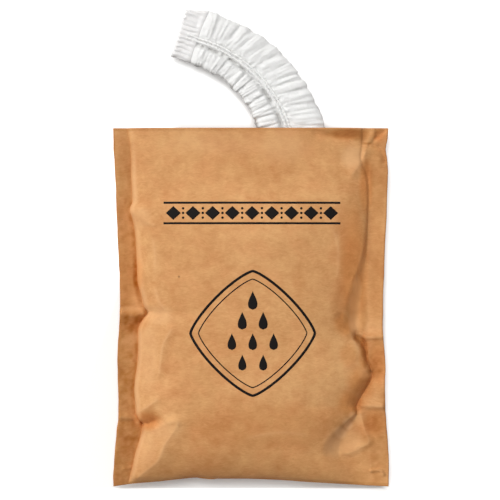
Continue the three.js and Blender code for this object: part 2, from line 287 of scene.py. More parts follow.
def makePiece(name, points, faces, material, body, replaced=(), uv=None, marks=None):
    mesh = bpy.data.meshes.new(name)
    faces = faces if isinstance(faces, list) else faces.tolist()
    mesh.from_pydata((np.asarray(points).reshape(-1, 3) * metre).tolist(), [], faces)
    mesh.shade_smooth()
    if uv is not None:
        corners = np.zeros(len(mesh.loops), np.int32)
        mesh.loops.foreach_get("vertex_index", corners)
        layer = mesh.uv_layers.new(name="flat film")
        layer.data.foreach_set("uv", np.asarray(uv, np.float32).reshape(-1, 2)[corners].ravel())
    for markName, values in (marks or {}).items():
        mark = mesh.attributes.new(markName, "FLOAT", "POINT")
        mark.data.foreach_set("value", np.asarray(values, np.float32).ravel())
    mesh.materials.append(material)
    piece = addObject(name, mesh)
    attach(piece, body)
    if replaced:
        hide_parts(*replaced)
    return piece


def thicken(piece, thickness):
    solid = piece.modifiers.new("thickness", "SOLIDIFY")
    solid.thickness = thickness * metre
    solid.offset = 0


# Shared effects

def linear(red, green, blue):
    # a colour as read off a screen, 0 to 255, made linear
    channel = lambda c: c / 12.92 if c <= 0.04045 else ((c + 0.055) / 1.055) ** 2.4
    return tuple(channel(c / 255) for c in (red, green, blue)) + (1.0,)


# Each noise is (scale, detail, roughness, distortion) as far as given, and each range says where
# a ramp starts and where it is full.
grain = {
    "drift": (0.0035, 0.0035, 0),  # how far the fibres wander
    "driftNoise": (240, 2),
    "fibres": ((0.35, 0.0), (1.30, 0.31), (2.25, 0.57)),  # (turn, offset) of the three lays of fibres
    "fibreStretch": (0.42, 1.8, 1),
    "fibreNoise": (1100, 2, 0.55),
    "cloudNoise": (46, 3, 0.55),
    "mottleNoise": (260, 4, 0.62),
    "fibreShare": 0.9,
    "range": (0.70, 1.36),
    "blush": (1.0, 0.93, 0.92, 1),
    "blushNoise": (120, 3, 0.6),
    "blushRange": (0.42, 0.66, 0, 0.85),
    "speckScale": 210,
    "speckSize": (0.05, 0.12, 0.8, 0),
    "speckRarity": 0.93,
    "speckColour": (0.20, 0.085, 0.03, 1),
}

crinkle = {
    "crumpleNoise": (620, 4, 0.6, 0.6),
    "fineNoise": (2600, 3, 0.6),
    "fineShare": 0.5,
    "dotRange": (0.16, 0.34, -1, 0),
}


def makeGroup(name, *sockets):
    group = bpy.data.node_groups.new(name, "ShaderNodeTree")
    for label, way, kind, value in sockets:
        socket = group.interface.new_socket(name=label, in_out=way, socket_type="NodeSocket" + kind)
        if value is not None:
            socket.default_value = value
    return group, addNode(group, "NodeGroupInput").outputs, addNode(group, "NodeGroupOutput").inputs


def makeKraftGrain():
    group, given, out = makeGroup(
        "kraft grain",
        ("Vector", "INPUT", "Vector", None),
        ("Pale", "INPUT", "Color", (0.7, 0.4, 0.2, 1)),
        ("Deep", "INPUT", "Color", (0.6, 0.3, 0.1, 1)),
        ("Specks", "INPUT", "Float", 1.0),
        ("Color", "OUTPUT", "Color", None),
        ("Height", "OUTPUT", "Float", None))
    place = given["Vector"]
    # a soft drift bends the fibres, so that none of them run in rows
    drift = vectorCalc(group, "SUBTRACT", noise(group, place, *grain["driftNoise"])["Color"], (0.5, 0.5, 0.5))
    bent = vectorCalc(group, "MULTIPLY_ADD", drift, grain["drift"], place)
    fibres = 0.0
    for turn, offset in grain["fibres"]:
        spread = addNode(group, "ShaderNodeMapping",
                         {"Vector": bent, "Location": (offset, offset, 0), "Rotation": (0, 0, turn),
                          "Scale": grain["fibreStretch"]}).outputs[0]
        fibres = calc(group, "MAXIMUM", noise(group, spread, *grain["fibreNoise"])[0], fibres)
    cloud = calc(group, "MULTIPLY_ADD", noise(group, place, *grain["cloudNoise"])[0], 1.0, -0.5)
    mottle = calc(group, "MULTIPLY_ADD", noise(group, place, *grain["mottleNoise"])[0], 1.0, cloud)
    mottle = calc(group, "MULTIPLY_ADD", fibres, grain["fibreShare"], mottle)
    base = blend(group, ramp(group, mottle, *grain["range"]), given["Deep"], given["Pale"])
    # rosy blotches between the ochre ones
    rosy = ramp(group, noise(group, place, *grain["blushNoise"])[0], *grain["blushRange"])
    base = blend(group, rosy, base, blend(group, 1.0, base, grain["blush"], "MULTIPLY"))
    # dark specks of bark, few and small
    scattered = {"Vector": place, "Scale": grain["speckScale"], "Randomness": 1}
    cells = addNode(group, "ShaderNodeTexVoronoi", scattered).outputs
    chosen = addNode(group, "ShaderNodeSeparateColor", {"Color": cells["Color"]}).outputs[0]
    rare = calc(group, "GREATER_THAN", chosen, grain["speckRarity"])
    speck = calc(group, "MULTIPLY", ramp(group, cells["Distance"], *grain["speckSize"]), rare)
    speck = calc(group, "MULTIPLY", speck, given["Specks"])
    group.links.new(blend(group, speck, base, grain["speckColour"]), out["Color"])
    group.links.new(fibres, out["Height"])
    return group


def makeFilmCrinkle():
    # non-woven film: a fine random crinkle and the grid of heat-bonded points
    group, given, out = makeGroup(
        "film crinkle",
        ("Vector", "INPUT", "Vector", None),
        ("Flat", "INPUT", "Vector", None),
        ("Dots", "INPUT", "Float", 0.5),
        ("Shade", "OUTPUT", "Float", None),
        ("Height", "OUTPUT", "Float", None))
    crumple = noise(group, given["Vector"], *crinkle["crumpleNoise"])[0]
    fine = noise(group, given["Vector"], *crinkle["fineNoise"])[0]
    cells = addNode(group, "ShaderNodeTexVoronoi", {"Vector": given["Flat"], "Scale": 1, "Randomness": 0})
    dots = ramp(group, cells.outputs["Distance"], *crinkle["dotRange"])
    height = calc(group, "MULTIPLY_ADD", fine, crinkle["fineShare"], crumple)
    height = calc(group, "ADD", height, calc(group, "MULTIPLY", dots, given["Dots"]))
    group.links.new(height, out["Height"])
    group.links.new(crumple, out["Shade"])
    return group


kraftGrain = makeKraftGrain()
filmCrinkle = makeFilmCrinkle()


# Materials

kraftLook = {
    # the paler colour of crease wear and of painted highlights
    "worn": linear(232, 184, 134),
    # painted warm shade: a deeper orange in shaded places
    "warmShade": (1.0, 0.80, 0.60, 1),
    "specular": 0.25,
    "bump": 0.35,
    "bumpDepth": 0.06,
}

filmLook = {
    # painted shade in the folds, under the frill and along the strip's edges
    "deep": (0.50, 0.49, 0.48, 1),  # multiplies the colour in the folds
    "specular": 0.35,
    "bump": 0.5,
    "through": {"Subsurface Weight": 0.22, "Subsurface Radius": (1.0, 0.95, 0.9), "Subsurface Scale": 0.0009},
}


def newMaterial(name, roughness, specular, more=None):
    material = bpy.data.materials.new(name)
    tree = emptyTree(material)
    given = {"Roughness": roughness, "Specular IOR Level": specular, **(more or {})}
    surface = addNode(tree, "ShaderNodeBsdfPrincipled", given)
    addNode(tree, "ShaderNodeOutputMaterial", {"Surface": surface.outputs[0]})
    return material, tree, surface.inputs, addNode(tree, "ShaderNodeTexCoord").outputs


def markOf(tree, name):
    return addNode(tree, "ShaderNodeAttribute", attribute_name=name).outputs["Fac"]


def addBump(tree, surface, strength, depth, height):
    given = {"Strength": strength, "Distance": depth * metre, "Height": height}
    tree.links.new(addNode(tree, "ShaderNodeBump", given).outputs[0], surface["Normal"])


def makeKraft(name, pale, deep, tanAndShade, roughness):
    material, tree, surface, where = newMaterial(name, roughness, kraftLook["specular"])
    given = {"Vector": where["Object"], "Pale": pale, "Deep": deep}
    paperGrain = addNode(tree, "ShaderNodeGroup", given, node_tree=kraftGrain).outputs
    # The worn mark lifts the colour for crease wear and for painted highlights, the next mark darkens it for
    # pressed seals and for painted shade, and the last one adds painted warm shade.
    lift = blend(tree, markOf(tree, "worn"), paperGrain["Color"], kraftLook["worn"])
    tone = blend(tree, markOf(tree, "tannedAndShaded"), lift, blend(tree, 1.0, lift, tanAndShade, "MULTIPLY"))
    tone = blend(tree, markOf(tree, "warmShaded"), tone, kraftLook["warmShade"], "MULTIPLY")
    tree.links.new(tone, surface["Base Color"])
    addBump(tree, surface, kraftLook["bump"], kraftLook["bumpDepth"], paperGrain["Height"])
    return material


def makeFilm(name, white, grey, roughness, dots, depth):
    material, tree, surface, where = newMaterial(name, roughness, filmLook["specular"], filmLook["through"])
    given = {"Vector": where["Object"], "Flat": where["UV"], "Dots": dots}
    filmGrain = addNode(tree, "ShaderNodeGroup", given, node_tree=filmCrinkle).outputs
    tone = blend(tree, filmGrain["Shade"], linear(*grey), linear(*white))
    # painted shade where the film lies deep
    tone = blend(tree, markOf(tree, "deep"), tone, filmLook["deep"], "MULTIPLY")
    tree.links.new(tone, surface["Base Color"])
    addBump(tree, surface, filmLook["bump"], depth, filmGrain["Height"])
    return material


def makeInk():
    material, tree, surface, where = newMaterial("black ink", 0.7, 0.12)
    worn = ramp(tree, noise(tree, where["Object"], 1500, 4)[0], 0.62, 0.80, 0, 0.4)
    tree.links.new(blend(tree, worn, linear(9, 5, 4), linear(60, 38, 24)), surface["Base Color"])
    return material


kraft = makeKraft("kraft paper", linear(219, 167, 112), linear(194, 136, 83), (0.49, 0.30, 0.03, 1), 0.72)
sealGlue = makeKraft("sealing film", linear(190, 140, 92), linear(168, 118, 72), (1, 1, 1, 1), 0.5)
ink = makeInk()
capFilm = makeFilm("gathered film", (249, 249, 248), (241, 241, 241), 0.55, 0.5, 0.05)
weldFilm = makeFilm("welded film", (238, 237, 237), (222, 221, 222), 0.42, 0.2, 0.08)
thread = makeFilm("elastic thread", (247, 247, 246), (236, 236, 236), 0.5, 0.0, 0.04)
print("materials made")


# The sachet: one sheet, folded along the bottom and sealed down both sides

paper = {
    "mouthY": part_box("back_panel")[1][1] / metre,
    "thickness": 0.22,
    "spacing": 0.17,  # between each layer's middle and the seal's middle
    "seamZ": 4.2,
    "flatZ": 0.15,
    "mouthRise": 4.25,
    "rise": 10.2,
    "mouthRun": 42.0,
    "foldRun": 30.0,
    "backFoldRun": 9.0,
    "flatHalf": 28.0,
    "swellPower": (2.3, 1.75),  # how squarely the front swells, on its left and right
    "curlPower": (0.85, 1.2),  # how the seals' edges curl up, on the left and right
    "creaseRun": 2.0,  # over which creases start above the fold
    "bondRun": 6.0,  # over which they fade from the seals into the back
    "backWave": 0.05,
    "edgeWaver": 0.10,
    "innerColumns": 168,
    "sealColumns": 17,
    "columnCrowding": 0.45,  # towards the seams
    "frontRows": 230,
    "backRows": 84,
    "rowCrowding": 0.38,  # towards the fold
    "wrapRows": 5,
    "nearFold": -59.0,
}

# (y, x) of the side edges and of the seals' inner lines, and (x, y) of the bottom fold
outline = {
    "leftEdge": [(-60, -45.9), (-56, -45.85), (-52, -45.65), (-46.7, -45.3), (-40.7, -44.75),
                 (-37, -44.3), (-34, -44.2), (-29, -44.3), (-20, -44.5), (-12, -44.35), (-8, -44.15),
                 (-5, -43.85), (-1, -43.7), (4, -43.75), (14, -43.95), (22, -44.35), (30, -44.8),
                 (40, -45.1), (50, -45.7), (60, -46.1)],
    "rightEdge": [(-60, 45.9), (-55, 46.1), (-45, 45.8), (-38, 45.2), (-30, 44.8), (-20, 44.8),
                  (-12, 44.35), (-6, 44), (2, 44.1), (12, 44.5), (24, 44.9), (36, 45.5), (45, 45.8),
                  (50, 45.4), (53, 45.1), (57, 45.7), (60, 46)],
    "leftSeam": [(-60, -41.4), (-54, -39.7), (-48.6, -38.5), (-43.9, -37), (-39, -36), (-37.2, -37.4),
                 (-35.4, -38.3), (-32.6, -38.5), (-27.3, -38.9), (-19, -37.9), (-14.5, -37.6),
                 (-7.7, -37.6), (-5.6, -37.1), (-3.6, -35.8), (-1.6, -34.4), (0.8, -35.8), (3.5, -36.4),
                 (7.6, -37.6), (14, -38), (22, -38.4), (26.9, -38.9), (30.4, -39.7), (32.8, -40.4),
                 (35.6, -39.5), (45.6, -39.9), (50, -39.9), (60, -41)],
    "rightSeam": [(-60, 40.2), (-52, 39.9), (-45, 39.1), (-40, 37.7), (-36, 36.5), (-33, 35.3),
                  (-30.5, 36.3), (-28, 37.8), (-25.3, 39.4), (-22.7, 40.6), (-20.5, 40.2), (-17, 38.9),
                  (-12.5, 38.4), (-9.5, 37.4), (-6, 37.9), (2, 38.4), (14, 38.9), (26, 39.5),
                  (40, 39.9), (50, 39.4), (54.8, 39.8), (60, 39.4)],
    "bottomFold": [(-47, -59.4), (-39, -58.4), (-31, -57.7), (-24, -56.9), (-18, -56.4), (-12, -56.8),
                   (0, -56.8), (10, -57.1), (20, -57.9), (30, -58.5), (38, -59), (47, -59.4)],
}

# how far in from the right seam the front panel starts to swell, as (y, distance)
slack = [(-60, 0), (-57, 0.8), (-53, 3.5), (-48, 7.7), (-44, 6.7), (-40, 4.1), (-36, 1), (-33, 0),
         (-16, 0.3), (-11, 1.4), (-6, 2), (-2, 1.6), (3, 0.8), (8, 0.3), (14, 0.2), (30, 0.3),
         (44, 0.8), (50, 2.6), (60, 2)]
# how softly it starts there, as (y, share of half the width)
softStart = [(-60, 0.24), (-50, 0.26), (-44, 0.22), (-38, 0.11), (-34, 0.01), (-14, 0.01), (-9, 0.07),
             (-4, 0.16), (2, 0.17), (8, 0.14), (16, 0.07), (30, 0.03), (60, 0.02)]

# how much higher than the seam the seals' outer edges curl, as (y, height)
curl = {
    "left": [(-60, 1.6), (-50, 2.1), (-43, 2.1), (-36, 1.4), (-28, 1.3), (-10, 1.5), (5, 1.3),
             (25, 1.1), (60, 0.6)],
    "right": [(-60, 0.5), (-48, -0.1), (-36, -0.3), (-25, 0.9), (-8, 0.8), (15, 0.3), (45, -0.1),
              (60, -0.2)],
}

# Creases in the paper: height, width on the left and on the right of their direction, the run
# over which they fade at both ends, and where they go. A negative height is a valley, and in the
# seals both layers follow it.
creases = [
    # the pinch half way down the left side, and the dent it leaves in the front
    (1.5, 2.4, 4.2, 1.2, [(-44.2, -1.2), (-41.4, -2.1), (-39.2, -2.2), (-36.8, -1.8), (-34.4, -1.5)]),
    (0.55, 2.8, 5, 3.5, [(-32.7, 8.5), (-31.2, 4.9), (-30.5, 2.5), (-27.9, -1.2), (-25.1, -5.1)]),
    (0.55, 3, 5, 3.5, [(-25.1, -5.1), (-27.3, -8.7), (-29, -11.9), (-29.8, -16.2), (-30.6, -24)]),
    # the pinch low on the left side
    (0.9, 2.6, 1.6, 1.2, [(-44.6, -36.5), (-41.5, -36.6), (-38.9, -36.9)]),
    (0.7, 1.2, 1.5, 0.9, [(-39.2, -35.8), (-38, -37), (-36.2, -38.6)]),
    (-1.35, 3.6, 1.8, 1.8, [(-37.4, -37.8), (-34.8, -38.6), (-31, -36.8)]),
    (0.6, 2, 4.5, 2.4, [(-36.4, -41.4), (-32.5, -40.4), (-29.5, -38.8), (-24, -36.6)]),
    (0.55, 3.6, 2.2, 2, [(-38.4, -35.2), (-34, -32.4), (-30, -29.4)]),
    (1.1, 6, 6.5, 4, [(-23.7, -34.8), (-24.5, -39), (-26.6, -42.2), (-28.7, -45.4), (-30.7, -50.3),
     (-34.1, -53.5), (-37, -55.8), (-39.6, -58.4)]),
    (0.35, 0.9, 0.9, 0.9, [(-43.2, -53.4), (-41.2, -53.6), (-39.6, -53.2)]),
    # high on the left side
    (0.42, 2.6, 1.6, 1.6, [(-40.4, 32.7), (-37.1, 30), (-34.6, 28.6), (-31, 27.2)]),
    (0.32, 5, 4, 6, [(-33.6, 27), (-31.8, 17), (-32, 9)]),
    # the star of creases in the mouth's right corner, and the lip bent up beside it
    (-0.8, 1, 1.8, 1, [(39, 55), (41.6, 54.1), (43.2, 53.1), (44.4, 50.7), (45.2, 48)]),
    (-0.85, 2.4, 1, 1, [(40.2, 55.3), (42.6, 57.2), (45.6, 59.6)]),
    (0.5, 1.2, 2.4, 0.8, [(41, 60.8), (40.9, 57.5), (40.3, 55.4)]),
    (0.75, 3, 5.6, 3.2, [(39, 54.4), (37.7, 50.7), (35.5, 47), (32.6, 43)]),
    (0.3, 2.2, 2.4, 2.4, [(38.4, 54), (37.8, 50), (37.6, 44)]),
    (-0.75, 3.2, 3.4, 2.6, [(39.2, 55.1), (36.4, 55.9), (32, 56.8), (27, 57.2), (20, 58.8)]),
    (1, 3, 4, 4, [(21, 61), (30, 60.9), (40, 60.9)]),
    # the pinch half way down the right side
    (0.85, 2.8, 1.4, 0.9, [(37.4, -10), (40.5, -9.8), (44.8, -9.5)]),
    (0.6, 1.4, 3.6, 1.6, [(35.4, -6.6), (33.3, -9), (35, -12.2), (36.9, -16.2), (38.4, -18.9),
     (39.6, -21.4)]),
    (-0.8, 0.7, 2.6, 1.2, [(34.2, -8.8), (37.2, -10.4), (38.4, -12.7), (38.8, -17.4), (40.2, -20.4)]),
    (-0.5, 2, 3.4, 2, [(28.6, -1.5), (31, -5), (32.8, -8.6)]),
    # the long dent below it, and the flat place at its end
    (-1, 1.6, 3.8, 1.4, [(40.4, -20.6), (40.2, -23), (38.2, -26.7), (35.7, -30.6), (34.7, -34.4)]),
    (-0.18, 2.6, 4.2, 2.5, [(34.8, -34.4), (32.1, -40.1), (30, -44.3), (29, -48.4)]),
    (0.8, 2.8, 1.5, 0.9, [(36.2, -32.5), (40, -32.8), (44.8, -33)]),
    (0.55, 2, 3.6, 2, [(36.2, -34), (37.7, -40.1), (39.4, -44.4), (36.8, -46.5), (33.4, -48.2),
     (29.2, -49)]),
    (0.75, 0.8, 1, 0.8, [(39.4, -54.4), (42.8, -54.1), (44.6, -56.2)]),
    # soft ones in the middle
    (0.26, 5, 4, 8, [(26, 30), (29, 18), (28, 6)]),
    (0.2, 5, 5, 9, [(-6, -44), (10, -41), (24, -43)]),
]

# painted shade, painted highlights and painted warm shade, the seals' painted shade also standing for their
# pressed brown: (x, y, reach along x, reach along y, share)
tones = {
    "paintedShade": [
        (-35.6, -39.2, 3.6, 2.6, 0.7), (-33.2, -35.8, 3.2, 2.4, 0.8), (35.3, -10, 1.5, 1.2, 1.4),
        (37.2, -10.9, 1.2, 1.3, 1.5), (29.8, 2.4, 3.6, 7, 0.5), (36.4, -10.8, 1.7, 1.3, 1.2),
        (29.2, -2.6, 2.5, 3.2, 0.45), (30.8, -5.3, 2.4, 3, 0.45), (32.4, -8, 1.7, 2.6, 0.65),
        (37.9, -1.5, 1.3, 8, 0.6), (32.8, 14, 3, 6, 0.25), (34.6, 35, 3.2, 6, 0.3),
        (38.2, 47, 1.8, 3, 0.8), (37.5, -12.4, 1.4, 1.9, 1.2), (37.9, -15, 1.3, 2.2, 1.2),
        (38.3, -17.8, 1.2, 2.4, 1.1), (39.4, -20.4, 1, 2, 1), (38.4, -25.8, 2.4, 3.2, 0.35),
        (35.2, -29.4, 3.4, 4, 0.55), (34.6, -34.3, 1.3, 1.8, 0.9), (29.6, -36, 5, 5.4, 0.5),
        (30, -51, 9, 4, 0.45), (8, -40, 27, 8, 0.35), (-18, -29, 7.5, 12, 0.28), (-28, 24, 9, 9, 0.2),
        (-31.5, 47.5, 7.5, 9, 0.2), (-25, -50.5, 6, 3, 0.35), (-32, -56.2, 4.4, 2.4, 0.6),
        (39.2, -46.5, 2.8, 7.5, 0.5), (36, -56.4, 5, 2.8, 0.6), (0, -60, 60, 12, 0.55),
        (0, 52, 38, 12, 0.25), (32, 58.2, 8.5, 2.1, 1), (36.4, 57, 3.4, 1.6, 0.8),
        (38.8, 54.9, 1.8, 0.55, 1.2),
    ],
    "sealTanAndShade": [
        (-42, 36, 4, 24, 0.75), (-42, -14, 4.6, 24, 1.1), (-42, 12, 4.2, 12, 0.8),
        (-42.5, -48, 4.6, 20, 1), (-37.2, -4, 3.6, 2.6, 1.6), (-39.6, -4.6, 4.8, 4.4, 1.35),
        (-39, -43, 2.4, 8, 1.2), (42.5, -50, 4.6, 12, 0.7), (42.5, -14, 3.2, 4, 0.75),
        (41.6, -19, 3.4, 4.6, 1.1), (41.4, -38, 4.6, 4.6, 0.9), (42.5, 8, 3.6, 14, 0.35),
        (42.5, 46, 4.6, 18, 0.55), (41.8, 57.6, 2.4, 2.2, 0.7), (41.6, 53.9, 1.8, 0.55, 1),
    ],
    "paintedWarmShade": [
        (34.3, 12, 5.2, 20, 0.95), (30.8, -5, 3.2, 4.2, 0.8), (32.5, -15.5, 3, 4, 0.45),
        (37.8, -15.5, 2.2, 6, 0.75), (37, -25, 5, 6, 0.85), (33.5, -31.5, 5, 4.5, 0.85),
        (42, -20, 3.6, 8, 0.7), (41, -39, 4.6, 5, 0.6), (41.5, 10, 4, 30, 0.25),
        (32.5, 58, 7.5, 2, 0.6), (42.5, 57.6, 2.4, 2.4, 0.6), (38.4, 40, 2.4, 10, 0.8),
        (-40.5, 12, 5, 20, 0.35), (-37.8, 11, 2, 7, 0.7), (-38.2, -4.4, 4, 3.6, 0.5),
        (-34.6, -37.6, 5, 3, 0.8), (-38, -37, 1.7, 1.6, 0.8), (8, -40, 30, 9, 0.2),
    ],
    "sealPaintedHighlights": [
        (-40, -0.5, 4.6, 1.1, 0.36), (-38, 2.2, 2.2, 2.4, 0.18), (-39.4, -10.6, 3, 2.6, 0.26),
        (41, -6.4, 3.6, 2.8, 0.25), (-38.3, -36.6, 1.5, 1.2, 0.45), (-37.2, -37.9, 1.3, 1.1, 0.5),
    ],
    "paintedHighlights": [
        (-34.5, -15, 4.2, 13, 0.26), (-31, -2.5, 5, 3.4, 0.36), (-35, -46, 4, 9, 0.22),
        (-28.5, -40.5, 6, 3.2, 0.22), (-36.6, -38.6, 1, 0.9, 0.5), (-37, 30, 4, 4, 0.3),
        (32.6, -45.4, 4.6, 5.2, 0.22), (34, 11, 4.6, 17, 0.13), (36.9, 14.5, 1.5, 5, 0.45),
        (35.4, 6.6, 1.7, 4, 0.85), (34.4, 1.6, 2.2, 3.6, 0.75), (34.2, -4.6, 1.9, 3.6, 0.75),
        (27.6, -45.6, 3.4, 5, 0.36), (33.8, -36, 1.3, 1.7, 0.65), (32.2, -38.8, 1.8, 2.2, 0.85),
        (29.8, -41.6, 2.4, 2.4, 0.85), (27.6, -45.2, 2.4, 3, 0.55), (36.6, -31.5, 1.6, 4.4, 0.3),
        (37.4, -21.8, 2, 1.8, 0.4), (42.4, -53.9, 2, 0.7, 0.55), (44.2, -55.4, 0.7, 1.2, 0.5),
        (34, 50.2, 4.2, 4.2, 0.5), (-6, 55, 22, 4, 0.2), (10.5, 54, 9, 6, 0.3),
    ],
}

# how much painted shade darkens the left seal right beside its seam, as (y, share)
seamShade = [(-60, 1), (-44, 1.15), (-39, 0.9), (-36, 0.8), (-30, 1.25), (-18, 1.25), (-8, 1.25),
             (-3, 1.8), (0, 0.9), (4, 1.1), (8, 1.75), (14, 1.6), (18, 1.1), (24, 1.15), (36, 1.1),
             (44, 0.8), (60, 0.7)]


def creaseHeight(x, y, height, leftWidth, rightWidth, fade, line):
    points = np.array(line, float)
    if len(points) > 2:
        places = np.arange(len(points))
        fine = np.linspace(0, len(points) - 1, 8 * (len(points) - 1) + 1)
        points = np.stack([through(np.stack([places, points[:, k]], 1), fine) for k in (0, 1)], 1)
    nearest = np.full(x.shape, np.inf)
    side = np.ones(x.shape)
    along = np.zeros(x.shape)
    passed = 0.0
    for (ax, ay), (bx, by) in zip(points[:-1], points[1:]):
        length = math.hypot(bx - ax, by - ay)
        ux, uy = (bx - ax) / length, (by - ay) / length
        t = np.clip((x - ax) * ux + (y - ay) * uy, 0, length)
        away = np.hypot(x - ax - t * ux, y - ay - t * uy)
        closer = away < nearest
        nearest = np.where(closer, away, nearest)
        side = np.where(closer, np.sign(ux * (y - ay) - uy * (x - ax)), side)
        along = np.where(closer, passed + t, along)
        passed += length
    width = np.where(side > 0, leftWidth, rightWidth)
    ends = smooth(np.minimum(along, passed - along) / fade + 0.15)
    return height * np.clip(1 - nearest / width, 0, 1) ** 1.5 * ends


# What a used sheet shows between its creases. Each dent is (height, size, shift, seed), and of the
# slanting wrinkles only the tops stand out.
wear = {
    "dents": ((0.16, 15.0, 0, 3), (0.06, 6.0, 7, 5), (0.012, 1.7, 0, 9)),
    "wrinkle": 0.16,
    "wrinkleSize": 9.0,
    "wrinkleSlant": 0.3,
    "wrinkleFrom": 0.72,
}


def allCreases(x, y):
    height = np.zeros(x.shape)
    worn = np.zeros(x.shape)
    for crease in creases:
        one = creaseHeight(x, y, *crease)
        height += one
        worn = np.maximum(worn, np.clip(one / crease[0], 0, 1) ** 5 * (crease[0] > 0))
    for full, size, shift, seed in wear["dents"]:
        height += full * softNoise(x + shift, y, size, seed)
    wrinkle = 1 - np.abs(softNoise(x, y + wear["wrinkleSlant"] * x, wear["wrinkleSize"], 8))
    height += wear["wrinkle"] * np.clip(wrinkle - wear["wrinkleFrom"], 0, 1) ** 1.2
    return height, worn


def tonesAt(kind, x, y):
    share = np.zeros(x.shape)
    for cx, cy, reachX, reachY, full in tones[kind]:
        away = np.hypot((x - cx) / reachX, (y - cy) / reachY)
        share = np.maximum(share, full * (1 - smooth((away - 0.45) / 0.9)))
    return share


def seams(y):
    return through(outline["leftSeam"], y), through(outline["rightSeam"], y)


def edges(y):
    return through(outline["leftEdge"], y), through(outline["rightEdge"], y)


def aboveFold(x, y):
    return y - through(outline["bottomFold"], x)


def clearOfFold(x, y):
    return smooth(aboveFold(x, y) / paper["creaseRun"])


def sealHeight(x, y):
    # the seals' middle surface, and where it goes on between the seams
    left, right = seams(y)
    outLeft, outRight = edges(y)
    beyondLeft = np.clip((left - x) / (left - outLeft), 0, 1.1)
    beyondRight = np.clip((x - right) / (outRight - right), 0, 1.1)
    riseLeft = through(curl["left"], y) * beyondLeft ** paper["curlPower"][0]
    riseRight = through(curl["right"], y) * beyondRight ** paper["curlPower"][1]
    return paper["seamZ"] + (riseLeft + riseRight)


def swellShare(x, y):
    left, right = seams(y)
    right = right - through(slack, y)
    across = np.clip((2 * x - left - right) / (right - left), -1, 1)
    start = np.where(across < 0, 1, smooth((1 - across) / through(softStart, y)))
    return rounded(1 - np.abs(across), np.where(across < 0, *paper["swellPower"])) * start


def frontHeight(x, y):
    toMouth = np.clip((paper["mouthY"] - y) / paper["mouthRun"], 0, 1)
    toMouth = toMouth ** 3 * (toMouth * (6 * toMouth - 15) + 10)
    rise = paper["mouthRise"] + (paper["rise"] - paper["mouthRise"]) * toMouth
    toFold = rounded(aboveFold(x, y) / paper["foldRun"], 2)
    dents, worn = allCreases(x, y)
    z = sealHeight(x, y) + paper["spacing"] + (rise - paper["spacing"]) * swellShare(x, y) * toFold
    return z + dents * clearOfFold(x, y), worn


def backHeight(x, y):
    left, right = seams(y)
    inner = np.minimum(x - left, right - x)
    toSeam = np.clip(1 - inner / (right - paper["flatHalf"]), 0, 1)
    toFold = np.clip(1 - aboveFold(x, y) / paper["backFoldRun"], 0, 1)
    lift = 1 - (1 - toSeam ** 2) * (1 - toFold ** 2)
    dents, worn = allCreases(x, y)
    bonded = smooth(1 - inner / paper["bondRun"]) * clearOfFold(x, y)
    top = sealHeight(x, y) - paper["spacing"]
    low = paper["flatZ"] + paper["backWave"] * (1 + softNoise(x, y, 8.0, 21))
    return low + (top - low) * lift + dents * bonded, worn * bonded


def sheetColumns():
    # each column is (across between the seams from -1 to 1, share of the seal beyond them)
    outside = np.linspace(1, 0, paper["sealColumns"], endpoint=False)
    turn = np.linspace(0, math.pi, paper["innerColumns"])
    even, crowding = np.linspace(-1, 1, paper["innerColumns"]), paper["columnCrowding"]
    inner = crowding * -np.cos(turn) + (1 - crowding) * even
    ones, zeros = np.ones(outside.shape), np.zeros(inner.shape)
    return np.concatenate([-ones, inner, ones]), np.concatenate([-outside, zeros, outside[::-1]])


def sheetX(across, beyond, y):
    left, right = seams(y)
    outLeft, outRight = edges(y)
    inner = left + (right - left) * (across + 1) / 2
    uneven = paper["edgeWaver"] * softNoise(y, across * 30, 3.2, 31)
    toLeft, toRight = np.clip(-beyond, 0, 1), np.clip(beyond, 0, 1)
    return inner + toLeft * (outLeft - left + uneven) + toRight * (outRight - right + uneven)


def sheetLayer(across, beyond, count, heightAt):
    # rows of places from the bottom fold up to the mouth
    low = through(outline["bottomFold"], sheetX(across, beyond, np.full(across.shape, paper["nearFold"])))
    even, crowding = np.linspace(0, 1, count), paper["rowCrowding"]
    share = (1 - crowding) * even + crowding * (1 - np.cos(even * math.pi / 2))
    y = low + (paper["mouthY"] - low) * share[:, None]
    x = sheetX(across, beyond, y)
    z, worn = heightAt(x, y)
    return np.stack([x, y, z], 2), worn


# Painted light and shade at the left seam: a painted highlight where the front starts to swell, and painted
# shade outside it.
shading = {
    "seamBlur": 0.5,
    # share of the painted highlight just inside the left seam
    "paintedLight": 0.5,
    "highlightPlace": (0.9, 0.9),  # its distance from the seam and its width
    "highlightFade": (42, 16, 0.75),  # above this height, over this run, it loses this share
    # painted shade on the seal outside the left seam
    "darkReach": (0.7, 2.2),  # the dark line is full so far from the seam, and fades over so much
    "crease": 0.35,
    "blotches": ((0.36, 1.7, 33), (0.26, 0.9, 35)),  # (share, size, seed) on the pressed seals
    # painted shade along the cut and folded edges, the bottom fold and the mouth
    "rim": 0.9,  # of cut and folded edges
    "rimShadeFrom": 0.86,
    "rimRun": 0.12,
    "mouthRimShade": 0.7,
    # share of the full tan colour, which stands for the pressed seals and for painted shade
    "tanAndShade": 0.5,
}


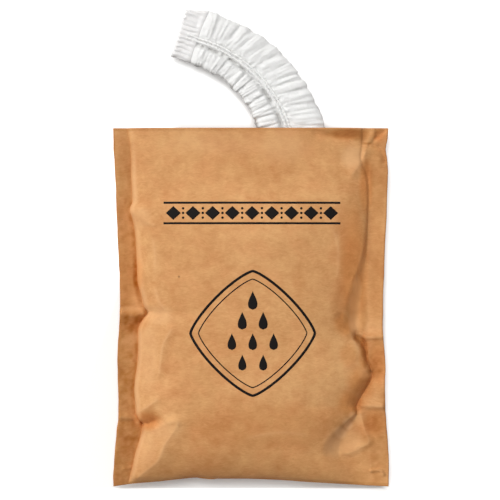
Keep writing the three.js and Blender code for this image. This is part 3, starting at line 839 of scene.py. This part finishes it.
def paperMarks(x, y, worn):
    left, right = seams(y)
    fromLeft = x - left
    onLeft = smooth(0.5 - fromLeft / shading["seamBlur"])
    outside = np.maximum(onLeft, smooth(0.5 + (x - right) / shading["seamBlur"]))
    # painted highlights, on the front and on the seals
    pale = np.maximum(tonesAt("paintedHighlights", x, y) * (1 - outside), tonesAt("sealPaintedHighlights", x, y) * outside)
    place, reach = shading["highlightPlace"]
    start, run, share = shading["highlightFade"]
    # a painted highlight just inside the left seam
    paintedLight = shading["paintedLight"] * bell((fromLeft - place) / reach) * (1 - share * smooth((y - start) / run))
    full, fade = shading["darkReach"]
    shaded = through(seamShade, y) * np.where(fromLeft > -full, onLeft, 1 - smooth((-full - fromLeft) / fade))
    # painted shade, on the seals together with their pressed brown
    spots = np.maximum(tonesAt("paintedShade", x, y), tonesAt("sealTanAndShade", x, y) * outside) * (1 - pale)
    blotches = sum(share * softNoise(x, y, size, seed) for share, size, seed in shading["blotches"])
    # worn lifts the colour for crease wear and for painted highlights
    return {
        "worn": np.clip(np.maximum(np.maximum(worn * shading["crease"], pale), paintedLight), 0, 1),
        "tannedAndShaded": np.maximum(spots, shaded) * (1 + outside * blotches),
        "warmShaded": tonesAt("paintedWarmShade", x, y),
    }


def makeSachet():
    across, beyond = sheetColumns()
    front, frontWorn = sheetLayer(across, beyond, paper["frontRows"], frontHeight)
    back, backWorn = sheetLayer(across, beyond, paper["backRows"], backHeight)
    angle = (np.arange(1, paper["wrapRows"] + 1) / (paper["wrapRows"] + 1) * math.pi)[:, None]
    x, low, top = front[0].T
    bottom = back[0, :, 2]
    middle, radius = (top + bottom) / 2, (top - bottom) / 2
    wrap = np.stack([x + 0 * angle, low - radius * np.sin(angle), middle + radius * np.cos(angle)], 2)
    rows = np.concatenate([front[::-1], wrap, back])
    worn = np.concatenate([frontWorn[::-1], np.zeros(wrap.shape[:2]), backWorn])
    marks = paperMarks(rows[..., 0], rows[..., 1], worn)
    # painted shade along the cut and folded edges and across the bottom fold
    outward = smooth((np.abs(beyond) - shading["rimShadeFrom"]) / shading["rimRun"])
    rim = shading["rim"] * outward + np.zeros(worn.shape)
    rim[len(front) - 3:len(front) + len(wrap) + 2] = shading["rim"]
    rim[:2] = rim[-2:] = shading["mouthRimShade"]
    marks["tannedAndShaded"] = shading["tanAndShade"] * np.maximum(marks["tannedAndShaded"], rim)
    piece = makePiece("sachetPaper", rows, gridFaces(*rows.shape[:2], flip=True), kraft, "sachet",
                      ("front_panel", "back_panel"), marks=marks)
    thicken(piece, paper["thickness"])


# the thin bond between the two layers
bond = {
    "low": -58.4,
    "belowMouth": 0.15,
    "rows": 160,
    "columns": 12,
    "reach": (0.04, 0.985),  # shares of the seal's width
    "thickness": 0.09,
}


def makeSealFilm(side, name, node):
    y = np.linspace(bond["low"], paper["mouthY"] - bond["belowMouth"], bond["rows"])
    y = np.repeat(y[:, None], bond["columns"], axis=1)
    share = np.linspace(*bond["reach"], bond["columns"])[None, :] * side
    x = sheetX(float(side), share, y)
    z = sealHeight(x, y) + allCreases(x, y)[0] * clearOfFold(x, y)
    middle = np.stack([x, y, z], 2)
    lift = np.array([0, 0, bond["thickness"] / 2])
    faces = slabFaces(*x.shape)
    makePiece(name, np.concatenate([middle + lift, middle - lift]), faces[:, ::side], sealGlue, "sachet",
              (node,), marks={mark: np.zeros(2 * x.size) for mark in ("worn", "tannedAndShaded", "warmShaded")})


makeSachet()
makeSealFilm(-1, "leftSealBond", "side_seal_left")
makeSealFilm(1, "rightSealBond", "side_seal_right")
print("sachet made")


# Ornament printed on the front: plain geometric figures

printing = {
    "lift": 0.035,
    "film": 0.02,
    "step": 0.35,
    "ruleLeft": -29.0,
    "ruleRight": 29.7,
    "ruleLow": 28.2,
    "ruleHigh": 35.0,
    "ruleStroke": 0.7,
    "lozenges": 9,
    "lozengeHalf": (2.5, 2.3),
    "dotPitch": 1.55,
    "dotRadius": 0.42,
    "emblem": (0.57, -8.2),
    "emblemRadius": 20.6,
    "emblemPower": 1.28,  # 1 is a square on its corner and 2 a circle
    "stroke": 0.85,
    "innerRing": (0.87, 0.45),  # its radius and stroke as shares of the outer ring's
    "dropRows": ((1, 10.6), (2, 3.9), (3, -3.0), (2, -9.9)),  # (how many, how high)
    "dropSize": 6.2,
    "dropShrink": 0.3,  # for each row
    "dropPitch": 6.9,
}


def printInk(name, patches):
    # each patch is an (n, m, 2) grid of flat places, laid on the paper
    points, faces, start = [], [], 0
    for flat in patches:
        x, y = flat[..., 0], flat[..., 1]
        z = frontHeight(x, y)[0] + paper["thickness"] / 2 + printing["lift"]
        top = np.stack([x, y, z], 2)
        points += [top.reshape(-1, 3), (top - [0, 0, printing["film"]]).reshape(-1, 3)]
        ahead, over = flat[0, 1] - flat[0, 0], flat[1, 0] - flat[0, 0]
        turn = -1 if ahead[0] * over[1] - ahead[1] * over[0] < 0 else 1
        faces.append(slabFaces(*x.shape)[:, ::turn] + start)
        start += 2 * x.size
    makePiece(name, np.concatenate(points), np.concatenate(faces), ink, "sachet")


def stroke(line, width, closed=False):
    # a line of even width; line is (n, 2)
    ahead = np.gradient(line, axis=0)
    if closed:
        ahead[0] = ahead[-1] = line[1] - line[-2]
    ahead /= np.linalg.norm(ahead, axis=1)[:, None]
    side = np.stack([-ahead[:, 1], ahead[:, 0]], 1)
    return np.stack([line + side * width * k for k in (-0.5, 0, 0.5)], 1)


def square(count):
    return np.meshgrid(np.linspace(-1, 1, count), np.linspace(-1, 1, count), indexing="ij")


def lozengePatch(cx, cy):
    u, v = square(9)
    halfWidth, halfHeight = printing["lozengeHalf"]
    return np.stack([cx + (u - v) / 2 * halfWidth, cy + (u + v) / 2 * halfHeight], 2)


def discPatch(cx, cy):
    u, v = square(7)
    long = np.maximum(np.abs(u), np.abs(v)) / np.maximum(np.hypot(u, v), 1e-9) * printing["dotRadius"]
    return np.stack([cx + u * long, cy + v * long], 2)


def dropPatch(cx, cy, size):
    # a falling drop: round below and drawn to a point above
    t = np.linspace(0, 1, 15)[:, None]
    half = size * 0.36 * np.sqrt(t) * np.sqrt(1 - t) * 2 * t ** 0.75
    u = np.linspace(-1, 1, 7)[None, :]
    return np.stack([cx + u * half, cy + size * (0.55 - t) + 0 * u], 2)


def makeRule():
    left, right, low, high = (printing["rule" + side] for side in ("Left", "Right", "Low", "High"))
    middle = (low + high) / 2
    steps = int((right - left) / printing["step"]) + 1
    patches = [stroke(np.linspace((left, y), (right, y), steps), printing["ruleStroke"]) for y in (low, high)]
    pitch = (right - left) / printing["lozenges"]
    for i in range(printing["lozenges"]):
        cx = left + (i + 0.5) * pitch
        patches.append(lozengePatch(cx, middle))
        if i:
            for row in (-1, 0, 1):
                patches.append(discPatch(cx - pitch / 2, middle + row * printing["dotPitch"]))
    printInk("printedRule", patches)


def ring(share, strokeShare, count):
    # a square on its corner with its corners and sides rounded
    angle, power = np.linspace(0, 2 * math.pi, count), printing["emblemPower"]
    reach = (np.abs(np.cos(angle)) ** power + np.abs(np.sin(angle)) ** power) ** (-1 / power)
    line = np.stack([reach * np.cos(angle), reach * np.sin(angle)], 1) * (printing["emblemRadius"] * share)
    return stroke(np.array(printing["emblem"]) + line, printing["stroke"] * strokeShare, closed=True)


def makeEmblem():
    cx, cy = printing["emblem"]
    patches = [ring(1, 1, 320), ring(*printing["innerRing"], 280)]
    for row, (count, y) in enumerate(printing["dropRows"]):
        size = printing["dropSize"] - printing["dropShrink"] * row
        for i in range(count):
            patches.append(dropPatch(cx + (i - (count - 1) / 2) * printing["dropPitch"], cy + y, size))
    printInk("printedEmblem", patches)


makeRule()
makeEmblem()
print("ornament printed")


# The cap: one film web folded into a strip and gathered along its hem

strip = {
    "bendRadius": 43.0,
    "bendDrop": 12.3,
    "bendSweep": math.radians(70),
    "freeStraight": 10.5,
    "turnRadius": 14.2,
    "turnY": -21.5,
    "tailDrop": 18.0,
    "weldLength": 6.6,
    "middleZ": 3.8,
}
strip["bendX"] = strip["turnRadius"] - strip["bendRadius"]
strip["bendY"] = paper["mouthY"] - strip["bendDrop"]
stretches = [
    strip["freeStraight"],
    strip["bendRadius"] * strip["bendSweep"],
    strip["bendY"] - strip["turnY"],
    math.pi * strip["turnRadius"],
    paper["mouthY"] - strip["tailDrop"] - strip["turnY"],
]
stripLength = sum(stretches)


def onStrip(s, out):
    # flat place of a point so far along the hem and so far to the outside of its bends
    s, out = np.broadcast_arrays(np.asarray(s, float), np.asarray(out, float))
    ends = np.cumsum(stretches)
    sweep = strip["bendSweep"]
    angle = np.clip(sweep - (s - ends[0]) / strip["bendRadius"], 0, sweep)
    before = np.clip(ends[0] - s, 0, None)
    x = strip["bendX"] + (strip["bendRadius"] + out) * np.cos(angle) - before * math.sin(sweep)
    y = strip["bendY"] + (strip["bendRadius"] + out) * np.sin(angle) + before * math.cos(sweep)
    y = y - np.clip(s - ends[1], 0, stretches[2])
    turned = np.clip((s - ends[2]) / strip["turnRadius"], 0, math.pi)
    x = np.where(s > ends[2], (strip["turnRadius"] + out) * np.cos(turned), x)
    y = np.where(s > ends[2], strip["turnY"] - (strip["turnRadius"] + out) * np.sin(turned), y)
    return x, y + np.clip(s - ends[3], 0, None)


pleats = {
    "spread": 0.45,  # share by which one fold's width may differ
    "step": 0.30,  # between the web's columns
    "height": 1.55,
    "baseZ": 4.75,
    "hemEdge": 0.95,
    "leanRun": 12.0,
    "filmThickness": 0.07,
    "intoWeld": 0.2,
    "gathering": 1.6,  # length of flat film in each length of the strip
    "wideStart": 0.45,  # by which the first two folds are wider
    "startDepths": (1.0, 0.35, 0.5),
    # what the depth of clefts, the fullness, middle and reach of folds are drawn from
    "depth": (0.35, 0.95),
    "lift": (-0.16, 0.14),
    "peak": (0.46, 0.70),
    "bulge": (-0.55, 0.30),
    "drift": 0.7,
    "driftSize": 4.6,
    "arch": (2.2, 3.6, 7.0),  # how squarely folds rise, fall and end at the welds
    "calmRun": 0.34,
    # (height, lean, change, place, size, seed) of finer folds, anywhere between the hem and the edge
    "fine": ((0.27, 0.5, 1.3, 30, 0.95, 51), (0.12, -0.3, 1.5, 20, 0.6, 53)),
    "squeezed": 0.62,  # share of the height that is left at the welds
    "squeezeRun": 3.0,
    "pucker": 0.62,
    "crinkle": 0.07,
    "pocket": 1.1,  # depth of the pockets right beside the hem, on its inner side
    "edgeDraw": 1.1,  # by which a cleft draws the strip's edge in
}

# The inner frill, then the outer one. lean is how far the folds drift along the hem for each step
# away from it, cut is how deep the clefts go, reach is (distance along the hem, how far the frill
# reaches from it) and rise is how it stands up from the hem, at 0, to its edge, at 1.
frills = (
    {"pitch": 3.9, "seed": 23, "lean": 0.12, "cut": 0.86,
     "reach": [(0, 8.1), (8, 8.2), (30, 9.0), (46, 9.7), (58, 9.6), (68, 8.9), (240, 8.8)],
     "rise": [(0, 0.20), (0.10, 0.42), (0.26, 0.88), (0.52, 1.0), (0.76, 0.93), (0.90, 0.74), (1, 0.40)]},
    {"pitch": 3.25, "seed": 17, "lean": 0.23, "cut": 0.80,
     "reach": [(0, 10.0), (8, 10.3), (30, 11.1), (50, 11.8), (66, 10.9), (240, 10.8)],
     "rise": [(0, 0.40), (0.10, 0.66), (0.28, 0.92), (0.46, 1.0), (0.70, 0.94), (0.88, 0.76), (1, 0.42)]},
)
filmBegin = strip["weldLength"] - pleats["intoWeld"]
filmEnd = stripLength - strip["weldLength"] + pleats["intoWeld"]
columnS = np.arange(filmBegin, filmEnd, pleats["step"])


def makeFolds(frill):
    # where the clefts leave the hem, how deep each is and how full the folds between them stand
    random = np.random.RandomState(frill["seed"])
    count = int(round((filmEnd - filmBegin) / frill["pitch"]))
    widths = 1 + random.uniform(-1, 1, count) * pleats["spread"]
    widths[:2] += pleats["wideStart"]
    places = np.concatenate([[0], np.cumsum(widths)]) / widths.sum()
    frill["lines"] = filmBegin + places * (filmEnd - filmBegin)
    depths = random.uniform(*pleats["depth"], count - len(pleats["startDepths"]))
    frill["depth"] = np.concatenate([pleats["startDepths"], depths, [1.0]])
    for name in ("lift", "peak", "bulge"):
        frill[name] = random.uniform(*pleats[name], count)


for frill in frills:
    makeFolds(frill)


def toWeld(s):
    return np.minimum(s - strip["weldLength"], stripLength - strip["weldLength"] - s)


def squeeze(s):
    # towards the welds all the layers come together
    low = pleats["squeezed"]
    return low + (1 - low) * smooth((toWeld(s) + 0.3) / pleats["squeezeRun"])


def alongAt(out):
    # distance along the hem of every column's point at the cross-strip place out
    lean = np.where(np.asarray(out) > 0, frills[1]["lean"], frills[0]["lean"])
    return columnS + lean * smooth(toWeld(columnS) / pleats["leanRun"]) * out


def foldAt(side, q):
    # which fold each column is in at q, and the share of the way through it
    lines = frills[side]["lines"]
    drift = pleats["drift"] * q * softNoise(columnS, 2.0 * q + 40 * side, pleats["driftSize"], 45)
    at = np.clip(columnS + drift, lines[0], lines[-1] - 1e-6)
    k = np.clip(np.searchsorted(lines, at, side="right") - 1, 0, len(lines) - 2)
    return k, (at - lines[k]) / (lines[k + 1] - lines[k])


def fullness(side, q):
    # 0 in the deepest clefts and 1 on the crests, q runs from the hem to the strip's edge
    frill = frills[side]
    k, t = foldAt(side, q)
    peak = frill["peak"][k]
    rising = t < peak
    cleft = np.where(rising, k, k + 1)
    depth = frill["depth"][cleft] * (0.62 + 0.5 * softNoise(31.0 * cleft, 5.0 * q + 60 * side, 1.5, 47))
    away = np.where(rising, (peak - t) / peak, (t - peak) / (1 - peak))
    last = (cleft == 0) | (cleft == len(frill["lines"]) - 1)
    rise, fall, end = pleats["arch"]
    arch = 1 - away ** np.where(last, end, np.where(rising, rise, fall))
    calm = smooth((q - 0.02) / pleats["calmRun"]) if side else 1.0
    cut = np.clip(depth, 0, 1) * frill["cut"]
    full = 1 - calm * (cut * (1 - arch) - frill["lift"][k] * arch)
    fine = 0
    for height, lean, change, place, size, seed in pleats["fine"]:
        folds = np.abs(softNoise(columnS + lean * q, change * q + place * side, size, seed))
        fine = fine + height * (folds ** 0.75 - 0.5)
    return np.clip(full + fine * (0.4 + 0.6 * calm), -0.1, 1.2)


layers = {
    "z": (3.18, 2.58, 1.98, 1.38, 0.80),  # of the folds under the frill, from the top down
    "swing": (0.34, 0.26, 0.18, 0.12, 0.04),  # how much of the pleats each still shows
    "inset": (0.95, 1.4, 0.45, 1.7, 1.3),
    "uneven": (0.2, 0.25, 0.9, 0.3, 0.3),
    "samples": 11,
    "turnSteps": 5,
    "bulge": 0.42,
    "firstBulge": 0.28,
    "tuckShare": 4.2 / 8.8,  # of the inner frill's width, tucked in under it
    "tuckZ": 3.86,
}

# The web is rows of points along the strip: (s, out, z, how much painted shade it gets where it lies deep)
# over all the columns.


def topRow(side, q):
    sign, hemEdge = (1 if side else -1), pleats["hemEdge"]
    edge = through(frills[side]["reach"], columnS)
    s = alongAt(sign * (hemEdge + (edge - hemEdge) * q))
    full = fullness(side, q)
    k, t = foldAt(side, q)
    reach = edge - 0.2 + frills[side]["bulge"][k] * np.sin(math.pi * t) ** 0.6
    flat = 1 - np.clip(full, 0, 1)
    reach = reach - pleats["edgeDraw"] * flat + 0.16 * softNoise(columnS, 90 * side, 0.8, 48)
    pucker = bell((q - 0.04) / 0.11) * np.abs(softNoise(columnS, 3 * q + 9 * side, 0.85, 41))
    fine = pleats["crinkle"] * softNoise(columnS, 30 * q + 50 * side, 1.1, 43)
    hollow = 0 if side else bell((q - 0.09) / 0.08)
    hollow = hollow * (0.45 + 0.55 * smooth((softNoise(columnS, 77, 1.6, 49) + 0.35) / 0.5))
    rise = pleats["height"] * through(frills[side]["rise"], q) * full
    # painted shade: along the inner edge, in the pockets beside the hem and in the clefts
    under = 0.0 if side else 0.55 * smooth((q - 0.93) / 0.07)
    deep = 0.85 * hollow + 0.25 * flat ** 2 + under
    z = pleats["baseZ"] + rise + pleats["pucker"] * pucker + fine - pleats["pocket"] * hollow
    return s, sign * (hemEdge + (reach - hemEdge) * q), z, deep


def layerRow(index, share, side):
    # share runs from -1 at the inner edge to 1 at the outer one
    inner, outer = (through(frill["reach"], columnS) - layers["inset"][index] for frill in frills)
    outward = smooth((share + 1) / 2)
    out = share * (outer * outward + inner * (1 - outward))
    full = fullness(1 if share > 0 else 0, min(1.0, abs(share)))
    uneven = layers["uneven"][index] * softNoise(columnS, 40.0 * index + 9 * side, 2.6, 61)
    edgeShare = smooth((abs(share) - 0.4) / 0.4)
    z = layers["z"][index] + layers["swing"][index] * (full - 0.3) * (0.4 + 0.6 * edgeShare)
    place = out + math.copysign(1, share) * (uneven - 0.3 * (1 - full)) * edgeShare
    # the layers under the frill get painted shade, more on the inner side
    return alongAt(out), place, z, np.full(columnS.shape, 0.15 if share > 0 else 0.75)


def turnRows(side, upper, lower, bulge):
    # the film turns round the strip's edge from one layer to the next
    rows = []
    for angle in math.pi * np.arange(1, layers["turnSteps"]) / layers["turnSteps"]:
        mix = (1 - math.cos(angle)) / 2
        s, out, z, deep = (a * (1 - mix) + b * mix for a, b in zip(upper, lower))
        rows.append((s, out + (1 if side else -1) * bulge * math.sin(angle), z, deep))
    return rows


def makeWeb():
    rows = []
    # tucked edge under the inner frill
    for q in np.linspace(0, 1, 5):
        s, out, z, deep = layerRow(0, -1 + (1 - q) * layers["tuckShare"], 0)
        z = layers["tuckZ"] + 0.2 * (fullness(0, 0.8) - 0.3)
        rows.append((s, out, z, deep))
    rows += turnRows(0, rows[-1], topRow(0, 1.0), layers["firstBulge"])
    rows += [topRow(0, q) for q in np.linspace(1, 0, 27)]
    outer = topRow(1, 0.0)
    inner = rows[-1]
    for k in np.linspace(0, 1, 8)[1:-1]:
        # under the hem
        s, out, z, deep = (a * (1 - k) + b * k for a, b in zip(inner, outer))
        rows.append((s, out, z * 0.5 + 0.5 * (pleats["baseZ"] - 0.1), deep))
    rows += [topRow(1, q) for q in np.linspace(0, 1, 31)]
    for index in range(len(layers["z"])):
        # from one edge of the strip to the other and back, layer by layer
        side = 1 - index % 2
        across = (1 if side else -1) * np.cos(np.linspace(0, math.pi, layers["samples"]))
        layer = [layerRow(index, share, side) for share in across]
        rows += turnRows(side, rows[-1], layer[0], layers["bulge"]) + layer
    s, out, z, deep = np.array(rows).transpose(1, 0, 2)
    z = strip["middleZ"] + (z - strip["middleZ"]) * squeeze(columnS)
    x, y = onStrip(s, out)
    step = np.hypot(np.diff(out, axis=0), np.diff(z, axis=0)).mean(1)
    down = np.concatenate([[0], np.cumsum(step)])[:, None]
    flat = np.stack([s * pleats["gathering"], down + 0 * s], 2)
    piece = makePiece("gatheredFilm", np.stack([x, y, z], 2), gridFaces(*s.shape), capFilm, "cap",
                      ("crown_folds", "outer_frill", "inner_frill"), uv=flat, marks={"deep": deep})
    thicken(piece, pleats["filmThickness"])
    print("web rows", s.shape[0], "columns", s.shape[1])
    return piece


hem = {
    "half": 1.05,
    "lowZ": 4.35,
    "highZ": 5.40,
    "threadRadius": 0.35,
    "threadOut": 0.60,
    "threadZ": 5.62,
    "pucker": 1.22,
    "intoWeld": 4.0,
    "samples": 900,
    "around": 12,
    "groove": 0.24,  # half the width of the line between the threads
    "grooveDepth": 0.55,
    "sideDrop": 0.65,
    "gather": 0.20,
    "widen": 0.12,
    "waver": 0.08,
}


def puckers(s, seed):
    # uneven little gathers along the hem
    beat = s / hem["pucker"] + 0.7 * softNoise(s, 0, 3.0, seed)
    return (0.5 + 0.5 * np.cos(2 * math.pi * beat)) ** 0.7 * (0.75 + 0.25 * softNoise(s, 5, 1.4, seed + 1))


def hemPlaces():
    begin = strip["weldLength"] - hem["intoWeld"]
    end = stripLength - strip["weldLength"] + hem["intoWeld"]
    return np.linspace(begin, end, hem["samples"])[:, None]


def pressed(z, s):
    # the hem's lines come down as well where they enter the welds, but never right into them
    share = pleats["squeezed"] + (1 - pleats["squeezed"]) * squeeze(s)
    return strip["middleZ"] + (z - strip["middleZ"]) * share


def makeSlab(name, s, out, top, low, deep, flat, material, node):
    # a closed strip of film between two heights, in and beside the welds
    x, y = onStrip(s, out)
    points = np.concatenate([np.stack([x, y, z], 2) for z in (top, low)])
    makePiece(name, points, slabFaces(*out.shape)[:, ::-1], material, "cap", (node,),
              uv=np.concatenate([flat, flat]), marks={"deep": np.concatenate(deep)})


def makeHem():
    s = hemPlaces()
    across = np.linspace(-1, 1, 17)[None, :]
    middle = bell(across / hem["groove"])
    out = across * hem["half"] * (1 + hem["widen"] * puckers(s, 71)) + hem["waver"] * softNoise(s, 0, 7.0, 73)
    top = hem["highZ"] - hem["sideDrop"] * np.abs(across) ** 2.5
    top = top + hem["gather"] * puckers(s + 0.25 * across, 75)
    top = top - hem["grooveDepth"] * middle * (0.45 + 0.55 * puckers(s, 77))
    # painted shade in the groove between the threads, broken along it
    groove = 0.5 * middle * smooth(0.5 + softNoise(s, 0, 0.7, 79))
    flat = np.stack([s * pleats["gathering"] + 0 * out, out], 2)
    makeSlab("hemFilm", s, out, pressed(top, s), pressed(hem["lowZ"] + 0 * top, s), [groove, 0 * groove],
             flat, capFilm, "hem_band")


def makeThread(side, name, node):
    s = hemPlaces()
    around = np.linspace(0, 2 * math.pi, hem["around"], endpoint=False)[None, :]
    radius = hem["threadRadius"] * (0.62 + 0.60 * puckers(s, 80 + side))
    centre = side * hem["threadOut"] + 0.10 * softNoise(s, 3, 4.0, 83 + side)
    z = pressed(hem["threadZ"] + radius * np.sin(around), s)
    x, y = onStrip(s, centre + radius * np.cos(around))
    at = np.arange(z.size).reshape(z.shape)
    a, b = at[:-1].ravel(), np.roll(at, -1, axis=1)[:-1].ravel()
    faces = np.stack([a, b, b + hem["around"], a + hem["around"]], 1)[:, ::-1].tolist()
    faces += [at[0].tolist(), at[-1, ::-1].tolist()]
    makePiece(name, np.stack([x, y, z], 2), faces, thread, "cap", (node,))


weld = {
    "freeOuter": 8.1,  # the weld's outer edge at the strip's end and at its root
    "rootOuter": 10.5,
    "endSlant": 0.075,  # by which the outer half is longer than the inner one
    "inner": -8.15,
    "thickness": 3.0,
    "ribPitch": 1.58,
    "rib": 0.40,
    "ribWaver": 0.36,
    "ribShares": (1.6, 1.2),  # of a rib's height, above and below
    "edgeWaver": 0.12,
    "scallop": 0.34,
    "swell": (0.16, 0.30),  # where the ribs end, and the dip beyond it
    "rimRun": (0.9, 0.7),  # over which the sides and the end are rounded
    "across": 110,
    "along": 34,
    "overlap": 0.3,
}


def makeWeld(begin, name, node, seed):
    across = np.linspace(0, 1, weld["across"])[None, :]
    length = np.linspace(0, 1, weld["along"])[:, None]
    free = begin == 0
    toRoot = length if free else 1 - length
    outer = weld["freeOuter"] + (weld["rootOuter"] - weld["freeOuter"]) * toRoot
    out = weld["inner"] + (outer - weld["inner"]) * across
    out = out + weld["edgeWaver"] * softNoise(length * 7, across * 9, 1.1, seed)
    first = begin if free else begin - weld["overlap"]
    last = begin + strip["weldLength"] + (weld["overlap"] if free else 0)
    scallop = weld["scallop"] * softNoise(out, 0, 1.1, seed + 1) * smooth(1 - 3 * toRoot)
    slant = -weld["endSlant"] * np.clip(out + 1.0, 0, None) * smooth(1 - toRoot)
    s = first + (last - first) * length + (scallop + slant if free else -scallop)
    # ribs pressed in along the strip, broken on the outer half and gone before the root
    waver = out + weld["ribWaver"] * softNoise(s, out * 0.4, 1.6, seed + 2)
    beat = waver / weld["ribPitch"] + 0.35 * softNoise(out, 0, 3.0, seed + 3)
    patchy = 0.72 + 0.4 * softNoise(s * 0.7, out, 1.4, seed + 4)
    patchy = patchy - smooth(out / 3.0) * (0.25 + 0.35 * softNoise(s, out * 0.8, 1.9, seed + 5))
    ribs = np.abs(np.sin(math.pi * beat)) ** 0.8 * np.clip(patchy, 0.05, 1.2)
    ribs = weld["rib"] * (0.5 + (ribs - 0.5) * (1 - 0.75 * smooth((toRoot - 0.70) / 0.16)))
    puff, dip = weld["swell"]
    swell = puff * bell((toRoot - 0.82) / 0.12) - dip * smooth((toRoot - 0.94) / 0.04)
    sideRun, endRun = weld["rimRun"]
    rim = rounded(np.minimum(across, 1 - across) * (outer - weld["inner"]) / sideRun, 2)
    rim = rim * rounded(toRoot * strip["weldLength"] / endRun + 0.12, 2)
    half = weld["thickness"] / 2 - weld["rib"]
    above, below = weld["ribShares"]
    top = strip["middleZ"] + (half + swell * rim + above * ribs) * (0.25 + 0.75 * rim)
    low = strip["middleZ"] - (half + below * ribs) * (0.25 + 0.75 * rim)
    # painted shade along the weld's inner edge and on its underside
    deep = [0.6 * (1 - smooth((out - weld["inner"]) / 0.5)), 0.6 + 0 * out]
    makeSlab(name, s, out, top, low, deep, np.stack([s, out], 2), weldFilm, node)


web = makeWeb()
makeHem()
makeThread(1, "outerElastic", "outer_elastic")
makeThread(-1, "innerElastic", "inner_elastic")
makeWeld(0, "leadingWeld", "leading_weld", 91)
makeWeld(stripLength - strip["weldLength"], "trailingWeld", "trailing_weld", 97)
print("cap made")
